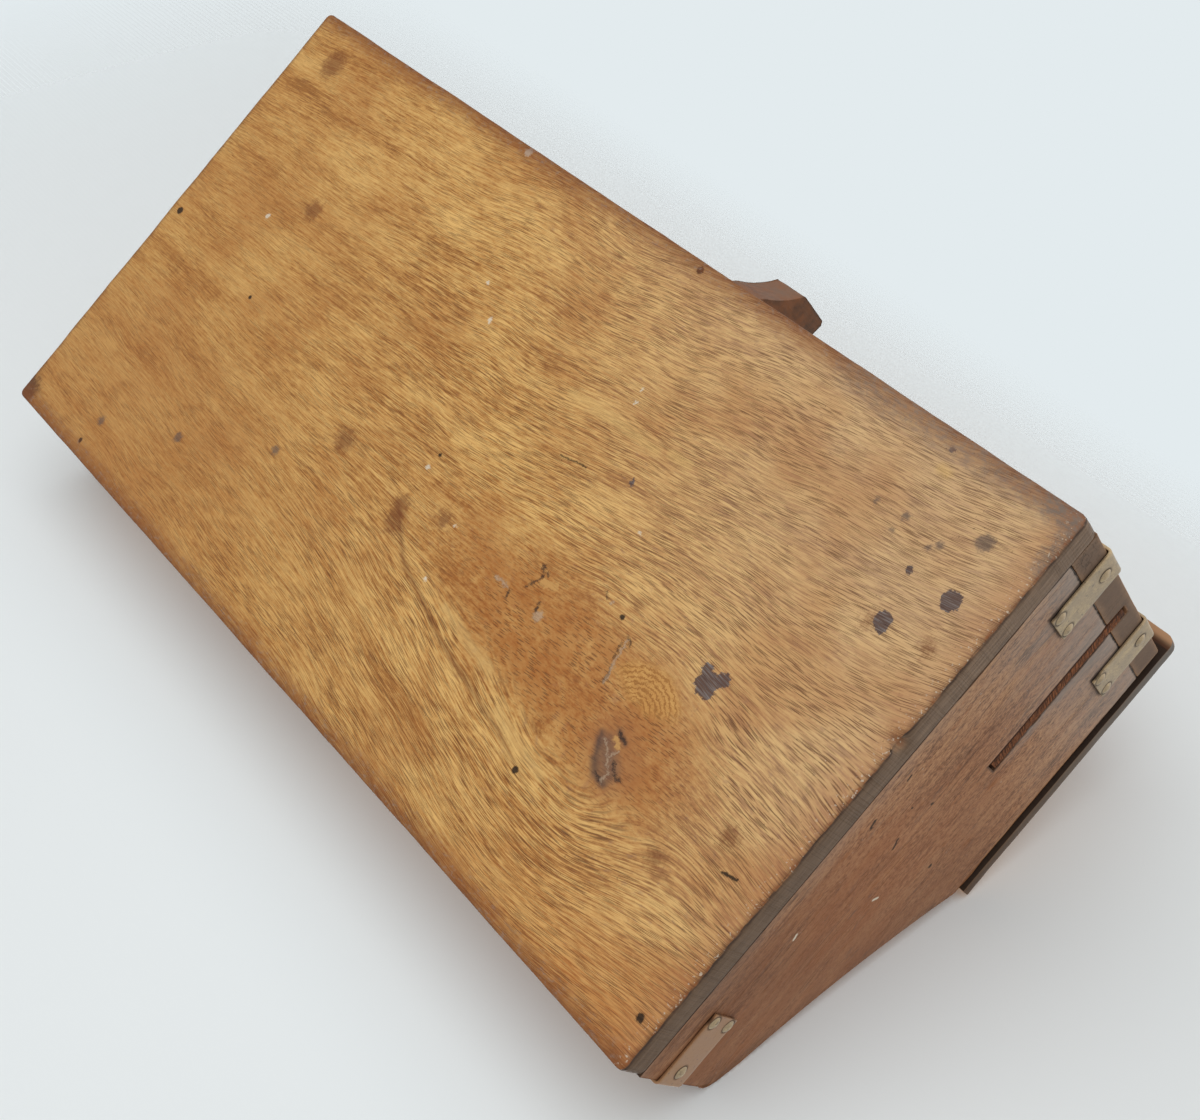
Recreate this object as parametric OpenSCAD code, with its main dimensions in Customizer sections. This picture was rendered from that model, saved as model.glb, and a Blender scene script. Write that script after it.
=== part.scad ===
// Desk letter box: a wooden box with a low front and a tall back. A slope lid covers the
// letter compartments, a flat lid covers the till at the back, and brass straps tie the corners.
// X runs along the box, Y from the front (-) to the back (+), Z up from the base's underside.

/* [Carcass] */
// Length of the box over its end panels
box_w = 318; // [280:1:420]
// Depth of the box, front face to back face
box_d = 165; // [160:1:200]
// Height of the walls at the back, without the flat lid
box_h = 104; // [98:1:130]
// Height at the foot of the slope
front_h = 51; // [46:1:56]
// Depth of the flat top, from the back face to the head of the slope
flat_d = 88.5; // [84:0.5:96]
// Thickness of the base board
base_t = 10; // [8:0.5:12]
// Thickness of the end panels
end_t = 10; // [9:0.5:12]
// Thickness of the back board
back_t = 9.8; // [9:0.1:12]
// Thickness of the front board
front_t = 9; // [8:0.5:11]
// Hollow of the slope's edge at its middle
slope_sag = 3; // [1:0.5:4]
// Radius of the rounded foot of the slope
nose_r = 8; // [4:0.5:9]

/* [Cross rail] */
// Depth of the rail behind the head of the slope
rail_back = 14; // [12:0.5:16]
// Height of the rail at its back
rail_h = 17.7; // [15:0.1:20]
// Length of the rail's tenons in the end panels
rail_tenon = 4; // [3:0.5:6]

/* [Shelf and till] */
// Thickness of the shelf
shelf_t = 4.8; // [4:0.1:6]
// Distance from the slot's lower edge up to the end panel's top edge
slot_drop = 47.8; // [43:0.1:50]
// Length of the slot in each end panel and back board
slot_l = 53.3; // [46:0.1:56]
// Distance from the slot to the back face
slot_inset = 3; // [2:0.1:4]
// Gap at the front and back ends of the slot
slot_play = 0.8; // [0.3:0.1:1.2]
// Gap under the shelf in its slot
shelf_under = 0.6; // [0.2:0.1:0.8]
// Gap over the shelf in its slot
shelf_over = 0.1; // [0.1:0.1:0.4]
// How far the shelf's ends stand back from the end panels' faces
shelf_recess = 0.2; // [0.1:0.1:1.5]
// Thickness of the till's front
till_t = 4; // [3:0.5:6]
// Height of the till's front above the shelf
till_rise = 28; // [20:1:32]
// Depth of the till's front below the shelf
till_drop = 3; // [2:0.5:5]

/* [Letter dividers] */
// Thickness of a divider
divider_t = 3.5; // [3:0.5:5]
// Distance from the rear divider to the cross rail
divider_setback = 7.2; // [5:0.1:14]
// Depth of the grooves that hold the dividers
groove_d = 3; // [2:0.5:4]
// Gap between a divider's top edge and the slope lid
divider_gap = 4; // [3:0.5:10]

/* [Lids] */
// Thickness of the flat lid
top_lid_t = 5.6; // [5:0.1:7]
// Overhang of the flat lid beyond each end panel
end_overhang = 1.1; // [0.5:0.1:4]
// Overhang of the flat lid beyond the back face
back_overhang = 5.8; // [4:0.1:8]
// Distance from the head of the slope back to the flat lid's front edge
lid_setback = 1.5; // [0.5:0.1:3]
// Gap between the walls and the flat lid, filled by the hinge leaves
lid_gap = 2; // [2:0.1:2.6]
// Thickness of the slope lid
slope_lid_t = 8; // [7.5:0.5:9]
// Gap between the slope lid and each end panel
side_gap = 0.6; // [0.4:0.1:1]
// Gap between a closed lid and the wood that it rests on
rest_gap = 0.3; // [0.25:0.05:0.5]
// Width of the finger scoop in the front board
scoop_w = 21; // [16:1:26]
// Depth of the finger scoop
scoop_d = 5; // [4:0.5:6]
// Height of the finger scoop below the slope lid
scoop_h = 9; // [7:0.5:12]

/* [Lid rest] */
// Width of the carved lid rest on the back
rest_w = 13; // [10:0.5:20]
// How far the lid rest reaches out from the back face
rest_reach = 24.3; // [22:0.1:30]
// Thickness of its stem
rest_stem = 9.7; // [8:0.1:11]
// Height of its outer face
rest_face = 18.4; // [14:0.1:22]
// Radius of the cove under it
cove_r = 50; // [40:1:60]
// Length of the stem below the cove
rest_tail = 8; // [4:0.5:12]
// Opening angle at which the flat lid lies on the rest
rest_angle = 172; // [165:0.5:174]

/* [Hinges] */
// Length of a hinge
hinge_l = 38; // [30:1:50]
// Distance of each hinge's middle from the end of the box
hinge_inset = 61; // [50:1:100]
// Radius of the hinge barrel
barrel_r = 2; // [1.8:0.1:2.2]
// Radius of the hinge pin
pin_r = 1; // [0.8:0.05:1.1]
// Radial running clearance on the pin
pin_gap = 0.05; // [0.03:0.01:0.08]
// Thickness of a hinge leaf
leaf_t = 0.8; // [0.6:0.05:0.8]
// Hold of a top hinge leaf on the back board
top_leaf_hold = 8.5; // [7:0.5:9]
// Hold of a slope hinge leaf on the rail
rail_leaf_hold = 6; // [5:0.5:7]
// Distance between the two screws of a leaf
screw_span = 24; // [18:1:26]
// Radius of a hinge screw
screw_r = 0.9; // [0.7:0.1:1]
// Depth of a hinge screw in the wood
screw_depth = 4; // [3:0.5:4.5]

/* [Corner straps] */
// Thickness of a strap
strap_t = 0.9; // [0.6:0.1:1.2]
// Width of a strap
strap_w = 13.2; // [10:0.1:16]
// Length of each leg of a strap
strap_leg = 21.6; // [18:0.1:26]
// Height of the lower edge of the lower back strap
strap_low_z = 22.2; // [18:0.1:26]
// Distance from the upper back strap up to the end panel's top edge
strap_drop = 16.2; // [8:0.1:20]
// Height of the lower edge of the front strap
strap_front_z = 19.6; // [16:0.1:26]

/* [Nails and pins] */
// Radius of a strap pin's shank
strap_pin_r = 0.8; // [0.6:0.1:1]
// Radius of a strap pin's head
strap_head_r = 1.9; // [1.5:0.1:2.2]
// Height of a strap pin's head
strap_head_h = 0.7; // [0.5:0.1:0.9]
// Depth of a strap pin in the wood
strap_pin_depth = 5; // [4:0.5:6]
// Distance of a strap's two inner pins from the end of the leg
inner_pin = 2.3; // [2:0.1:3]
// Distance of an inner pin from the strap's edge
pin_edge = 2.3; // [2:0.1:3]
// Distance of the corner pin from the box's corner, on the end panel
end_corner_pin = 4.1; // [3.5:0.1:5]
// Distance of the corner pin from the box's corner, on the front or back
face_corner_pin = 8; // [7:0.1:9]
// Radius of a nail's shank
nail_r = 0.9; // [0.7:0.1:1.2]
// Radius of a nail's head
nail_head_r = 1.5; // [1.3:0.1:2]
// Thickness of a nail's head
nail_head_t = 0.6; // [0.4:0.1:1]
// How far the base nails are set below the surface
nail_set = 0.2; // [0.1:0.1:0.4]
// Depth of a base nail in the wall above the base
nail_depth = 12; // [8:0.5:16]
// Distance of the end nails from the base's ends
nail_inset = 5.4; // [4:0.1:6]
// Distance of the outer nails from the base's corners
nail_corner = 12; // [10:0.5:16]
// Number of nails along each end
end_nails = 4; // [3:1:5]
// Number of nails along the front and along the back
long_nails = 4; // [3:1:6]
// Clearance around a shank in its hole
shank_gap = 0.03; // [0.02:0.01:0.06]

/* [Hidden] */
$fn = 48;
eps = 0.01;
SIDES = ["left", "right"];
half_w = box_w / 2;
half_d = box_d / 2;
inner_x = half_w - end_t;
hinge_x = half_w - hinge_inset;
back_in = half_d - back_t;
front_in = -half_d + front_t;
rail_top = box_h + lid_gap - rest_gap;
lid_z = box_h + lid_gap;

// The slope: s runs up along it from the foot, n points out of it.
head_y = half_d - flat_d;
slope_run = head_y + half_d;
slope_rise = box_h - front_h;
slope_len = norm([slope_run, slope_rise]);
slope_a = atan2(slope_rise, slope_run);
function slope_pt(s, n) = [-half_d + s * cos(slope_a) - n * sin(slope_a),
                           front_h + s * sin(slope_a) + n * cos(slope_a)];
function slope_z(y, n) = front_h + (y + half_d) * tan(slope_a) + n / cos(slope_a);

// Both hinge axes lie midway between the faces that their leaves are fixed to.
// A leaf is [its width from the axis, how much of that is held on the wood].
leaf_in = lid_gap / 2 - leaf_t;
knuckle_gap = 0.3;
axis_clear = barrel_r + knuckle_gap;
axis_lift = 0.2;
top_axis_y = half_d + back_overhang + axis_clear + axis_lift;
top_axis_z = box_h + lid_gap / 2;
top_leaf = [top_axis_y - half_d + top_leaf_hold, top_leaf_hold];
rail_edge = 1;
rail_s = slope_len - lid_gap - rail_edge;
slope_axis_n = barrel_r + axis_lift;
slope_axis = slope_pt(rail_s - lid_gap / 2, slope_axis_n);
slope_leaf = [slope_axis_n + rail_leaf_hold, rail_leaf_hold];
slope_turn = 90 + slope_a;

// Shelf and till.
slot_back = half_d - slot_inset;
slot_front = slot_back - slot_l;
slot_h = shelf_under + shelf_t + shelf_over;
slot_z = box_h - slot_drop;
shelf_z = slot_z + shelf_under;
shelf_front = slot_front + slot_play;
shelf_back = slot_back - slot_play;
shelf_x = half_w - shelf_recess;

// The cross rail's section, front to back.
rail_end_y = head_y + rail_back;
rail_low_z = rail_top - rail_h;
rail_foot = slope_pt(rail_s, -slope_lid_t - 1);
tenon_y = [rail_foot[0] + 1, rail_end_y - 1];
tenon_z = [rail_low_z + 2, box_h - 3];

// The two dividers make two front cells of equal depth.
divider_step = (rail_foot[0] - divider_setback - front_in) / 2;
divider_y = [for (i = [1:2]) front_in + i * divider_step - divider_t];
function divider_top(y) = slope_z(y, -slope_lid_t) - divider_gap;

// The carved lid rest, in (distance out from the back face, height).
rest_clear = lid_gap / 2 + top_lid_t + rest_gap;
rest_axis = [top_axis_y - half_d, top_axis_z];
function rest_top(d) = rest_axis[1]
    + ((d - rest_axis[0]) * sin(rest_angle) - rest_clear) / -cos(rest_angle);
cove_turn = acos(1 - (rest_reach - rest_stem) / cove_r);
rest_lip_z = rest_top(rest_reach) - rest_face;
cove_z = rest_lip_z - cove_r * sin(cove_turn);
cove_steps = 10;
rest_chamfer = 1.5;
rest_nail_edge = 4;
rest_nail_z = [cove_z + rest_nail_edge, rest_lip_z - rest_nail_edge];
rest_nail_depth = 6;

// Nails in the base: [x, y] of each.
end_nail_step = (box_d - 2 * nail_corner) / (end_nails - 1);
long_nail_step = (box_w - 2 * nail_corner) / long_nails;
front_nail_y = -half_d + front_t / 2;
back_nail_y = half_d - back_t / 2;
base_nail_at = concat(
    [for (sx = [-1, 1], i = [0:end_nails - 1])
        [sx * (half_w - nail_inset), -half_d + nail_corner + i * end_nail_step]],
    [for (y = [front_nail_y, back_nail_y], i = [0:long_nails - 1])
        [(i - (long_nails - 1) / 2) * long_nail_step, y]]);

// Straps: [lower edge, +1 at the back or -1 at the front].
STRAPS = [["back_lower", strap_low_z, 1],
          ["back_upper", box_h - strap_drop - strap_w, 1],
          ["front", strap_front_z, -1]];
leg_pins = [[inner_pin, pin_edge], [inner_pin, strap_w - pin_edge]];

// ---- helpers ----

// Extrudes a (y, z) outline along X, from x0 to x1.
module along_x(x0, x1) {
    translate([x0, 0, 0]) rotate([90, 0, 90]) linear_extrude(x1 - x0) children();
}

// A box between two corners.
module block(low, high) {
    translate(low) cube(high - low);
}

// Mirrors its children to the named side; they are drawn on the left.
module on_side(side) {
    if (side == "left") children();
    else mirror([1, 0, 0]) children();
}

// A cylinder along X through a (y, z) point.
module rod_x(x0, x1, at, r) {
    translate([x0, at[0], at[1]]) rotate([0, 90, 0]) cylinder(r = r, h = x1 - x0);
}

// Rounded foot of the slope, as points from the front face to the slope.
function nose_points(steps = 5) = let (c = [nose_r - half_d,
        front_h - nose_r * (1 - sin(slope_a)) / cos(slope_a)])
    [for (i = [0:steps]) let (t = 180 - i * (90 - slope_a) / steps) c + nose_r * [cos(t), sin(t)]];

// Shallow hollow along the slope, cut as one large cylinder.
module slope_hollow(x0, x1) {
    s0 = nose_r + 3;
    half = (slope_len - s0) / 2;
    r = (half * half + slope_sag * slope_sag) / (2 * slope_sag);
    rod_x(x0, x1, slope_pt(s0 + half, r - slope_sag), r, $fn = 360);
}

// Holes of the base's nails, through it and into the boards above.
module nail_holes() {
    for (p = base_nail_at)
        translate([p[0], p[1], -eps]) cylinder(r = nail_r + shank_gap, h = base_t + nail_depth + 0.1);
}

// ---- fasteners ----

// A strap pin that points down, with its head's underside at z = 0.
module strap_pin() {
    ball_r = (strap_head_r * strap_head_r + strap_head_h * strap_head_h) / (2 * strap_head_h);
    translate([0, 0, -strap_t - strap_pin_depth])
        cylinder(r = strap_pin_r, h = strap_t + strap_pin_depth + eps);
    intersection() {
        translate([0, 0, strap_head_h - ball_r]) sphere(r = ball_r);
        cylinder(r = strap_head_r, h = strap_head_h);
    }
}

// The hole of a strap pin, a little deeper than the pin.
module strap_pin_hole() {
    translate([0, 0, -strap_t - strap_pin_depth - 0.1])
        cylinder(r = strap_pin_r + shank_gap, h = strap_t + strap_pin_depth + 0.2);
}

// Puts its children at each pin of the left side's straps, pointing into the wood.
module at_strap_pins() {
    for (strap = STRAPS) {
        turn = strap[2];
        end_pins = concat([for (p = leg_pins) [strap_leg - p[0], p[1]]],
                          [[end_corner_pin, strap_w / 2]]);
        face_pins = concat([for (p = leg_pins) [strap_leg - p[0], p[1]]],
                           [[face_corner_pin, strap_w / 2]]);
        for (p = end_pins)
            translate([-half_w - strap_t, turn * (half_d - p[0]), strap[1] + p[1]])
                rotate([0, -90, 0]) children();
        for (p = face_pins)
            translate([-half_w + p[0], turn * (half_d + strap_t), strap[1] + p[1]])
                rotate([-90 * turn, 0, 0]) children();
    }
}

module strap_pin_holes() {
    for (side = SIDES) on_side(side) at_strap_pins() strap_pin_hole();
}

module strap_pins() {
    color("#a8966f") for (side = SIDES) on_side(side) at_strap_pins() strap_pin();
}

// A nail that points up, with its head's face at z = 0.
module nail(length) {
    cylinder(r = nail_head_r, h = nail_head_t);
    cylinder(r = nail_r, h = length);
}

module nail_seat(length) {
    translate([0, 0, -eps]) cylinder(r = nail_head_r + shank_gap, h = nail_head_t + eps);
    cylinder(r = nail_r + shank_gap, h = length + 0.1);
}

module base_nails() {
    color("#4a4038") for (p = base_nail_at)
        translate([p[0], p[1], nail_set]) nail(base_t + nail_depth - nail_set);
}

// The two nails that hold the lid rest, driven from inside the box.
module at_rest_nails() {
    for (z = rest_nail_z) translate([0, back_in, z]) rotate([-90, 0, 0]) children();
}

module lid_rest_nails() {
    color("#4a4038") at_rest_nails() nail(back_t + rest_nail_depth);
}

// ---- hinges ----

// Hinge frame: the axis is X, the leaves point along -Y, the fixed leaf is below the axis.
module at_top_hinge(side) {
    on_side(side) translate([-hinge_x, top_axis_y, top_axis_z]) children();
}

module at_slope_hinge(side) {
    on_side(side) translate([-hinge_x, slope_axis[0], slope_axis[1]])
        rotate([slope_turn, 0, 0]) children();
}

// Ends of the knuckles along the hinge: two outer knuckles fixed, the middle one moves.
knuckle_ends = [-hinge_l / 2, -hinge_l / 6, hinge_l / 6, hinge_l / 2];

// One leaf: below the axis with the outer knuckles, or above it with the middle knuckle.
module hinge_leaf(leaf, moving) {
    up = moving ? 1 : -1;
    trim = knuckle_gap / 2;
    own = moving ? [[knuckle_ends[1] + trim, knuckle_ends[2] - trim]]
                 : [[knuckle_ends[0], knuckle_ends[1] - trim],
                    [knuckle_ends[2] + trim, knuckle_ends[3]]];
    other = moving ? [[knuckle_ends[0] - eps, knuckle_ends[1] + trim],
                      [knuckle_ends[2] - trim, knuckle_ends[3] + eps]]
                   : [[knuckle_ends[1] - trim, knuckle_ends[2] + trim]];
    low = moving ? leaf_in : -leaf_in - leaf_t;
    difference() {
        union() {
            block([-hinge_l / 2, -leaf[0], low], [hinge_l / 2, 0, low + leaf_t]);
            for (k = own) rod_x(k[0], k[1], [0, 0], barrel_r);
        }
        for (k = other) rod_x(k[0], k[1], [0, 0], axis_clear);
        rod_x(-hinge_l, hinge_l, [0, 0], pin_r + pin_gap);
        for (x = [-0.5, 0.5])
            translate([x * screw_span, screw_y(leaf), low - eps])
                cylinder(r = screw_r + shank_gap, h = leaf_t + 2 * eps);
    }
}

// The screws stand in the middle of the part of the leaf that is held.
function screw_y(leaf) = leaf[1] / 2 - leaf[0];

// The pin, with a low head outside each end knuckle.
module hinge_pin() {
    head = 0.6;
    rod_x(-hinge_l / 2, hinge_l / 2, [0, 0], pin_r);
    for (sx = [-1, 1])
        rod_x(sx * (hinge_l + head) / 2 - head / 2, sx * (hinge_l + head) / 2 + head / 2, [0, 0],
              barrel_r * 0.75);
}

// The two screws of one leaf, from the leaf's open face into the wood; gap widens the hole.
module leaf_screws(leaf, moving, gap = 0) {
    depth = screw_depth + (gap > 0 ? 0.1 : 0);
    low = moving ? leaf_in : -lid_gap / 2 - depth;
    for (x = [-0.5, 0.5])
        translate([x * screw_span, screw_y(leaf), low - gap])
            cylinder(r = screw_r + gap, h = leaf_t + depth + gap);
}

module top_hinge_leaf(side, moving) {
    color("#9c8c66") at_top_hinge(side) hinge_leaf(top_leaf, moving);
}

module slope_hinge_leaf(side, moving) {
    color("#9c8c66") at_slope_hinge(side) hinge_leaf(slope_leaf, moving);
}

module top_screws(moving, gap = 0) {
    for (side = SIDES) at_top_hinge(side) leaf_screws(top_leaf, moving, gap);
}

module slope_screws(moving, gap = 0) {
    for (side = SIDES) at_slope_hinge(side) leaf_screws(slope_leaf, moving, gap);
}

module top_hinge_box_screws() { color("#7d7050") top_screws(false); }
module top_hinge_lid_screws() { color("#7d7050") top_screws(true); }
module slope_hinge_rail_screws() { color("#7d7050") slope_screws(false); }
module slope_hinge_lid_screws() { color("#7d7050") slope_screws(true); }

// ---- carcass ----

module base_board() {
    color("#c0975e") difference() {
        block([-half_w, -half_d, 0], [half_w, half_d, base_t]);
        for (p = base_nail_at) translate([p[0], p[1], nail_set]) nail_seat(base_t + nail_depth);
        for (p = base_nail_at) translate([p[0], p[1], -eps])
            cylinder(r = nail_head_r + shank_gap, h = nail_set + 2 * eps);
    }
}

// Slot for the shelf, cut through the end panels and along the back board.
module shelf_slot() {
    block([-half_w - 1, slot_front, slot_z], [half_w + 1, slot_back, slot_z + slot_h]);
}

module back_board() {
    color("#7f6a55") difference() {
        block([-half_w, back_in, base_t], [half_w, half_d, box_h]);
        shelf_slot();
        nail_holes();
        strap_pin_holes();
        at_rest_nails() nail_seat(back_t + rest_nail_depth);
        top_screws(false, shank_gap);
    }
}

module front_board() {
    // The top edge is bevelled to carry the slope lid.
    under = -slope_lid_t - rest_gap;
    scoop_z = slope_z(-half_d, under) - scoop_h;
    scoop_r = (scoop_w * scoop_w / 4 + scoop_d * scoop_d) / (2 * scoop_d);
    color("#7f6a55") difference() {
        along_x(-inner_x, inner_x)
            polygon([[-half_d, base_t], [front_in, base_t], [front_in, slope_z(front_in, under)],
                     [-half_d, slope_z(-half_d, under)]]);
        translate([0, -half_d + scoop_d - scoop_r, scoop_z]) cylinder(r = scoop_r, h = box_h);
        nail_holes();
        strap_pin_holes();
    }
}

// The end panel on the left; the right one is its mirror image.
module end_panel(side) {
    color("#7a6450") difference() {
        on_side(side) difference() {
            along_x(-half_w, -inner_x)
                polygon(concat([[back_in, box_h], [back_in, base_t], [-half_d, base_t]],
                               nose_points(), [[head_y, box_h]]));
            slope_hollow(-half_w - 1, -inner_x + 1);
            // mortise of the cross rail
            block([-inner_x - rail_tenon - 0.1, tenon_y[0] - 0.1, tenon_z[0] - 0.1],
                  [-inner_x + 1, tenon_y[1] + 0.1, tenon_z[1] + 0.1]);
            // grooves of the letter dividers
            for (y = divider_y)
                block([-inner_x - groove_d, y, base_t - 1],
                      [-inner_x + 1, y + divider_t, divider_top(y)]);
        }
        shelf_slot();
        nail_holes();
        strap_pin_holes();
    }
}

module end_panel_left() { end_panel("left"); }
module end_panel_right() { end_panel("right"); }

module cross_rail() {
    color("#745c48") difference() {
        union() {
            along_x(-inner_x, inner_x)
                polygon([slope_pt(rail_s, 0), rail_foot, [rail_foot[0], rail_low_z],
                         [rail_end_y, rail_low_z], [rail_end_y, rail_top], [head_y, rail_top],
                         [head_y, box_h]]);
            block([-inner_x - rail_tenon, tenon_y[0], tenon_z[0]],
                  [inner_x + rail_tenon, tenon_y[1], tenon_z[1]]);
        }
        slope_screws(false, shank_gap);
    }
}

// ---- fittings inside ----

module shelf() {
    color("#8a4a25") block([-shelf_x, shelf_front, shelf_z], [shelf_x, shelf_back, shelf_z + shelf_t]);
}

module till_front() {
    color("#8a5a3a") block([-inner_x, shelf_front - till_t, shelf_z - till_drop],
                           [inner_x, shelf_front, shelf_z + shelf_t + till_rise]);
}

module letter_divider(i) {
    y = divider_y[i];
    color("#8a5a3a") block([-inner_x - groove_d, y, base_t],
                           [inner_x + groove_d, y + divider_t, divider_top(y)]);
}

module letter_divider_front() { letter_divider(0); }
module letter_divider_rear() { letter_divider(1); }

// Corbel on the back face that the open flat lid lies on.
module lid_rest() {
    cove = [for (i = [0:cove_steps]) let (t = i * cove_turn / cove_steps)
        [rest_stem + cove_r * (1 - cos(t)), cove_z + cove_r * sin(t)]];
    outline = concat([[0, cove_z - rest_tail / 2], [rest_stem / 2, cove_z - rest_tail],
                      [rest_stem, cove_z - rest_tail / 2]],
                     cove,
                     [[rest_reach, rest_top(rest_reach) - rest_chamfer],
                      [rest_reach - rest_chamfer, rest_top(rest_reach - rest_chamfer)],
                      [0, rest_top(0)]]);
    color("#6b4632") difference() {
        along_x(-rest_w / 2, rest_w / 2) translate([half_d, 0]) polygon(outline);
        at_rest_nails() nail_seat(back_t + rest_nail_depth);
    }
}

// ---- lids ----

module top_lid() {
    color("#776450") difference() {
        block([-half_w - end_overhang, head_y + lid_setback, lid_z],
              [half_w + end_overhang, half_d + back_overhang, lid_z + top_lid_t]);
        top_screws(true, shank_gap);
    }
}

module slope_lid() {
    lid_x = inner_x - side_gap;
    lid_s = rail_s - lid_gap;
    color("#776450") difference() {
        along_x(-lid_x, lid_x)
            polygon(concat([[-half_d, slope_z(-half_d, -slope_lid_t)]], nose_points(),
                           [slope_pt(lid_s, 0), slope_pt(lid_s, -slope_lid_t)]));
        slope_hollow(-half_w, half_w);
        slope_screws(true, shank_gap);
    }
}

// ---- corner straps ----

// A flat brass strap bent round a corner: +1 at the back, -1 at the front.
module strap(side, kind) {
    z = STRAPS[kind][1];
    turn = STRAPS[kind][2];
    bend_r = strap_t * 1.5;
    color("#a08f6c") on_side(side) difference() {
        scale([1, turn, 1]) difference() {
            union() {
                block([-half_w - strap_t, half_d - strap_leg, z],
                      [-half_w, half_d + strap_t - bend_r, z + strap_w]);
                block([-half_w - strap_t + bend_r, half_d, z],
                      [-half_w + strap_leg, half_d + strap_t, z + strap_w]);
                translate([-half_w - strap_t + bend_r, half_d + strap_t - bend_r, z])
                    cylinder(r = bend_r, h = strap_w);
            }
            block([-half_w, half_d - strap_leg - 1, z - 1], [half_w, half_d, z + strap_w + 1]);
        }
        at_strap_pins() strap_pin_hole();
    }
}

module strap_back_lower_left() { strap("left", 0); }
module strap_back_upper_left() { strap("left", 1); }
module strap_front_left() { strap("left", 2); }
module strap_back_lower_right() { strap("right", 0); }
module strap_back_upper_right() { strap("right", 1); }
module strap_front_right() { strap("right", 2); }

module top_hinge_left_box_leaf() { top_hinge_leaf("left", false); }
module top_hinge_left_lid_leaf() { top_hinge_leaf("left", true); }
module top_hinge_left_pin() { color("#8c7c58") at_top_hinge("left") hinge_pin(); }
module top_hinge_right_box_leaf() { top_hinge_leaf("right", false); }
module top_hinge_right_lid_leaf() { top_hinge_leaf("right", true); }
module top_hinge_right_pin() { color("#8c7c58") at_top_hinge("right") hinge_pin(); }
module slope_hinge_left_rail_leaf() { slope_hinge_leaf("left", false); }
module slope_hinge_left_lid_leaf() { slope_hinge_leaf("left", true); }
module slope_hinge_left_pin() { color("#8c7c58") at_slope_hinge("left") hinge_pin(); }
module slope_hinge_right_rail_leaf() { slope_hinge_leaf("right", false); }
module slope_hinge_right_lid_leaf() { slope_hinge_leaf("right", true); }
module slope_hinge_right_pin() { color("#8c7c58") at_slope_hinge("right") hinge_pin(); }

base_board();
back_board();
front_board();
end_panel_left();
end_panel_right();
cross_rail();
shelf();
till_front();
letter_divider_front();
letter_divider_rear();
lid_rest();
top_lid();
slope_lid();
top_hinge_left_box_leaf();
top_hinge_left_lid_leaf();
top_hinge_left_pin();
top_hinge_right_box_leaf();
top_hinge_right_lid_leaf();
top_hinge_right_pin();
slope_hinge_left_rail_leaf();
slope_hinge_left_lid_leaf();
slope_hinge_left_pin();
slope_hinge_right_rail_leaf();
slope_hinge_right_lid_leaf();
slope_hinge_right_pin();
strap_back_lower_left();
strap_back_upper_left();
strap_front_left();
strap_back_lower_right();
strap_back_upper_right();
strap_front_right();
strap_pins();
base_nails();
lid_rest_nails();
top_hinge_box_screws();
top_hinge_lid_screws();
slope_hinge_rail_screws();
slope_hinge_lid_screws();
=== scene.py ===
"""Looks of a desk letter box: worn golden base, grey-brown boards, brass corner straps."""
import math
from contextlib import contextmanager

import bmesh
import bpy
from bpy.props import FloatProperty, FloatVectorProperty, PointerProperty
from mathutils import Matrix, Vector


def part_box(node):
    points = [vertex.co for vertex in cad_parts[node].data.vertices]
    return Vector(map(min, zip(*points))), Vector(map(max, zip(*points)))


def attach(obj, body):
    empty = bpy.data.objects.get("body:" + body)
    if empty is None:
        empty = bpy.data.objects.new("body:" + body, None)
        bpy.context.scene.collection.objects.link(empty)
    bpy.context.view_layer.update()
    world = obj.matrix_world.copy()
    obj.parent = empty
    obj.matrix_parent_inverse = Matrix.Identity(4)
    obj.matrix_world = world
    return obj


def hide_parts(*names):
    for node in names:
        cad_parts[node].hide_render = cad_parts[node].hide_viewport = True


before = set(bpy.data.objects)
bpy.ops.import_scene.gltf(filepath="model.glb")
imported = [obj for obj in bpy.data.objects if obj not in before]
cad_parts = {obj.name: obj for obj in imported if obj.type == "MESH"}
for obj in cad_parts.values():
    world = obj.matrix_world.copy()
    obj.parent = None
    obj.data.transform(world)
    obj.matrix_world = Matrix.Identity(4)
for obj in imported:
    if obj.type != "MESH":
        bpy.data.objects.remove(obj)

bl_info = {
    "name": "Desk letter box",
    "version": (1, 0, 0),
    "blender": (4, 5, 0),
    "location": "3D View > Sidebar > Letter box",
    "description": "Dresses the joined solids of a slope-fronted desk letter box",
    "category": "Object",
}

MM = 0.001
# Places nearer to each other than this count as the same, in millimetres.
HAIR = 0.01
SHARP_ANGLE = math.radians(30)
SMOOTH_ANGLE = math.radians(40)
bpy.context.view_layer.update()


def corners(node):
    """Lowest and highest corner of a joined solid, in millimetres."""
    low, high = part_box(node)
    return low / MM, high / MM


# Places that the pieces share, in millimetres.
BASE_LOW, BASE_HIGH = corners("base_board")
END_LOW, END_HIGH = corners("end_panel_left")
BACK_LOW, BACK_HIGH = corners("back_board")
FRONT_LOW, FRONT_HIGH = corners("front_board")
TOP_LOW, TOP_HIGH = corners("top_lid")
SHELF_LOW = corners("shelf")[0]
REST_LOW, REST_HIGH = corners("lid_rest")
STRAP_LOW, STRAP_HIGH = corners("strap_back_lower_left")
HALF_X, HALF_Y = BASE_HIGH.x, BASE_HIGH.y
# The end panels' slope: height of its foot, y of its head, rounding at its foot, hollow in it.
FOOT_Z = 51.0
HEAD_Y = -6.0
NOSE_RADIUS = 8.0
SLOPE_SAG = 3.0
SLOPE = math.atan2(END_HIGH.z - FOOT_Z, HEAD_Y + HALF_Y)
SLOPE_LENGTH = math.hypot(END_HIGH.z - FOOT_Z, HEAD_Y + HALF_Y)
# The shelf's slot in the end panels.
SLOT_LOW = Vector((0, 26.2, 56.2))
SLOT_HIGH = Vector((0, 79.5, 61.7))


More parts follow.
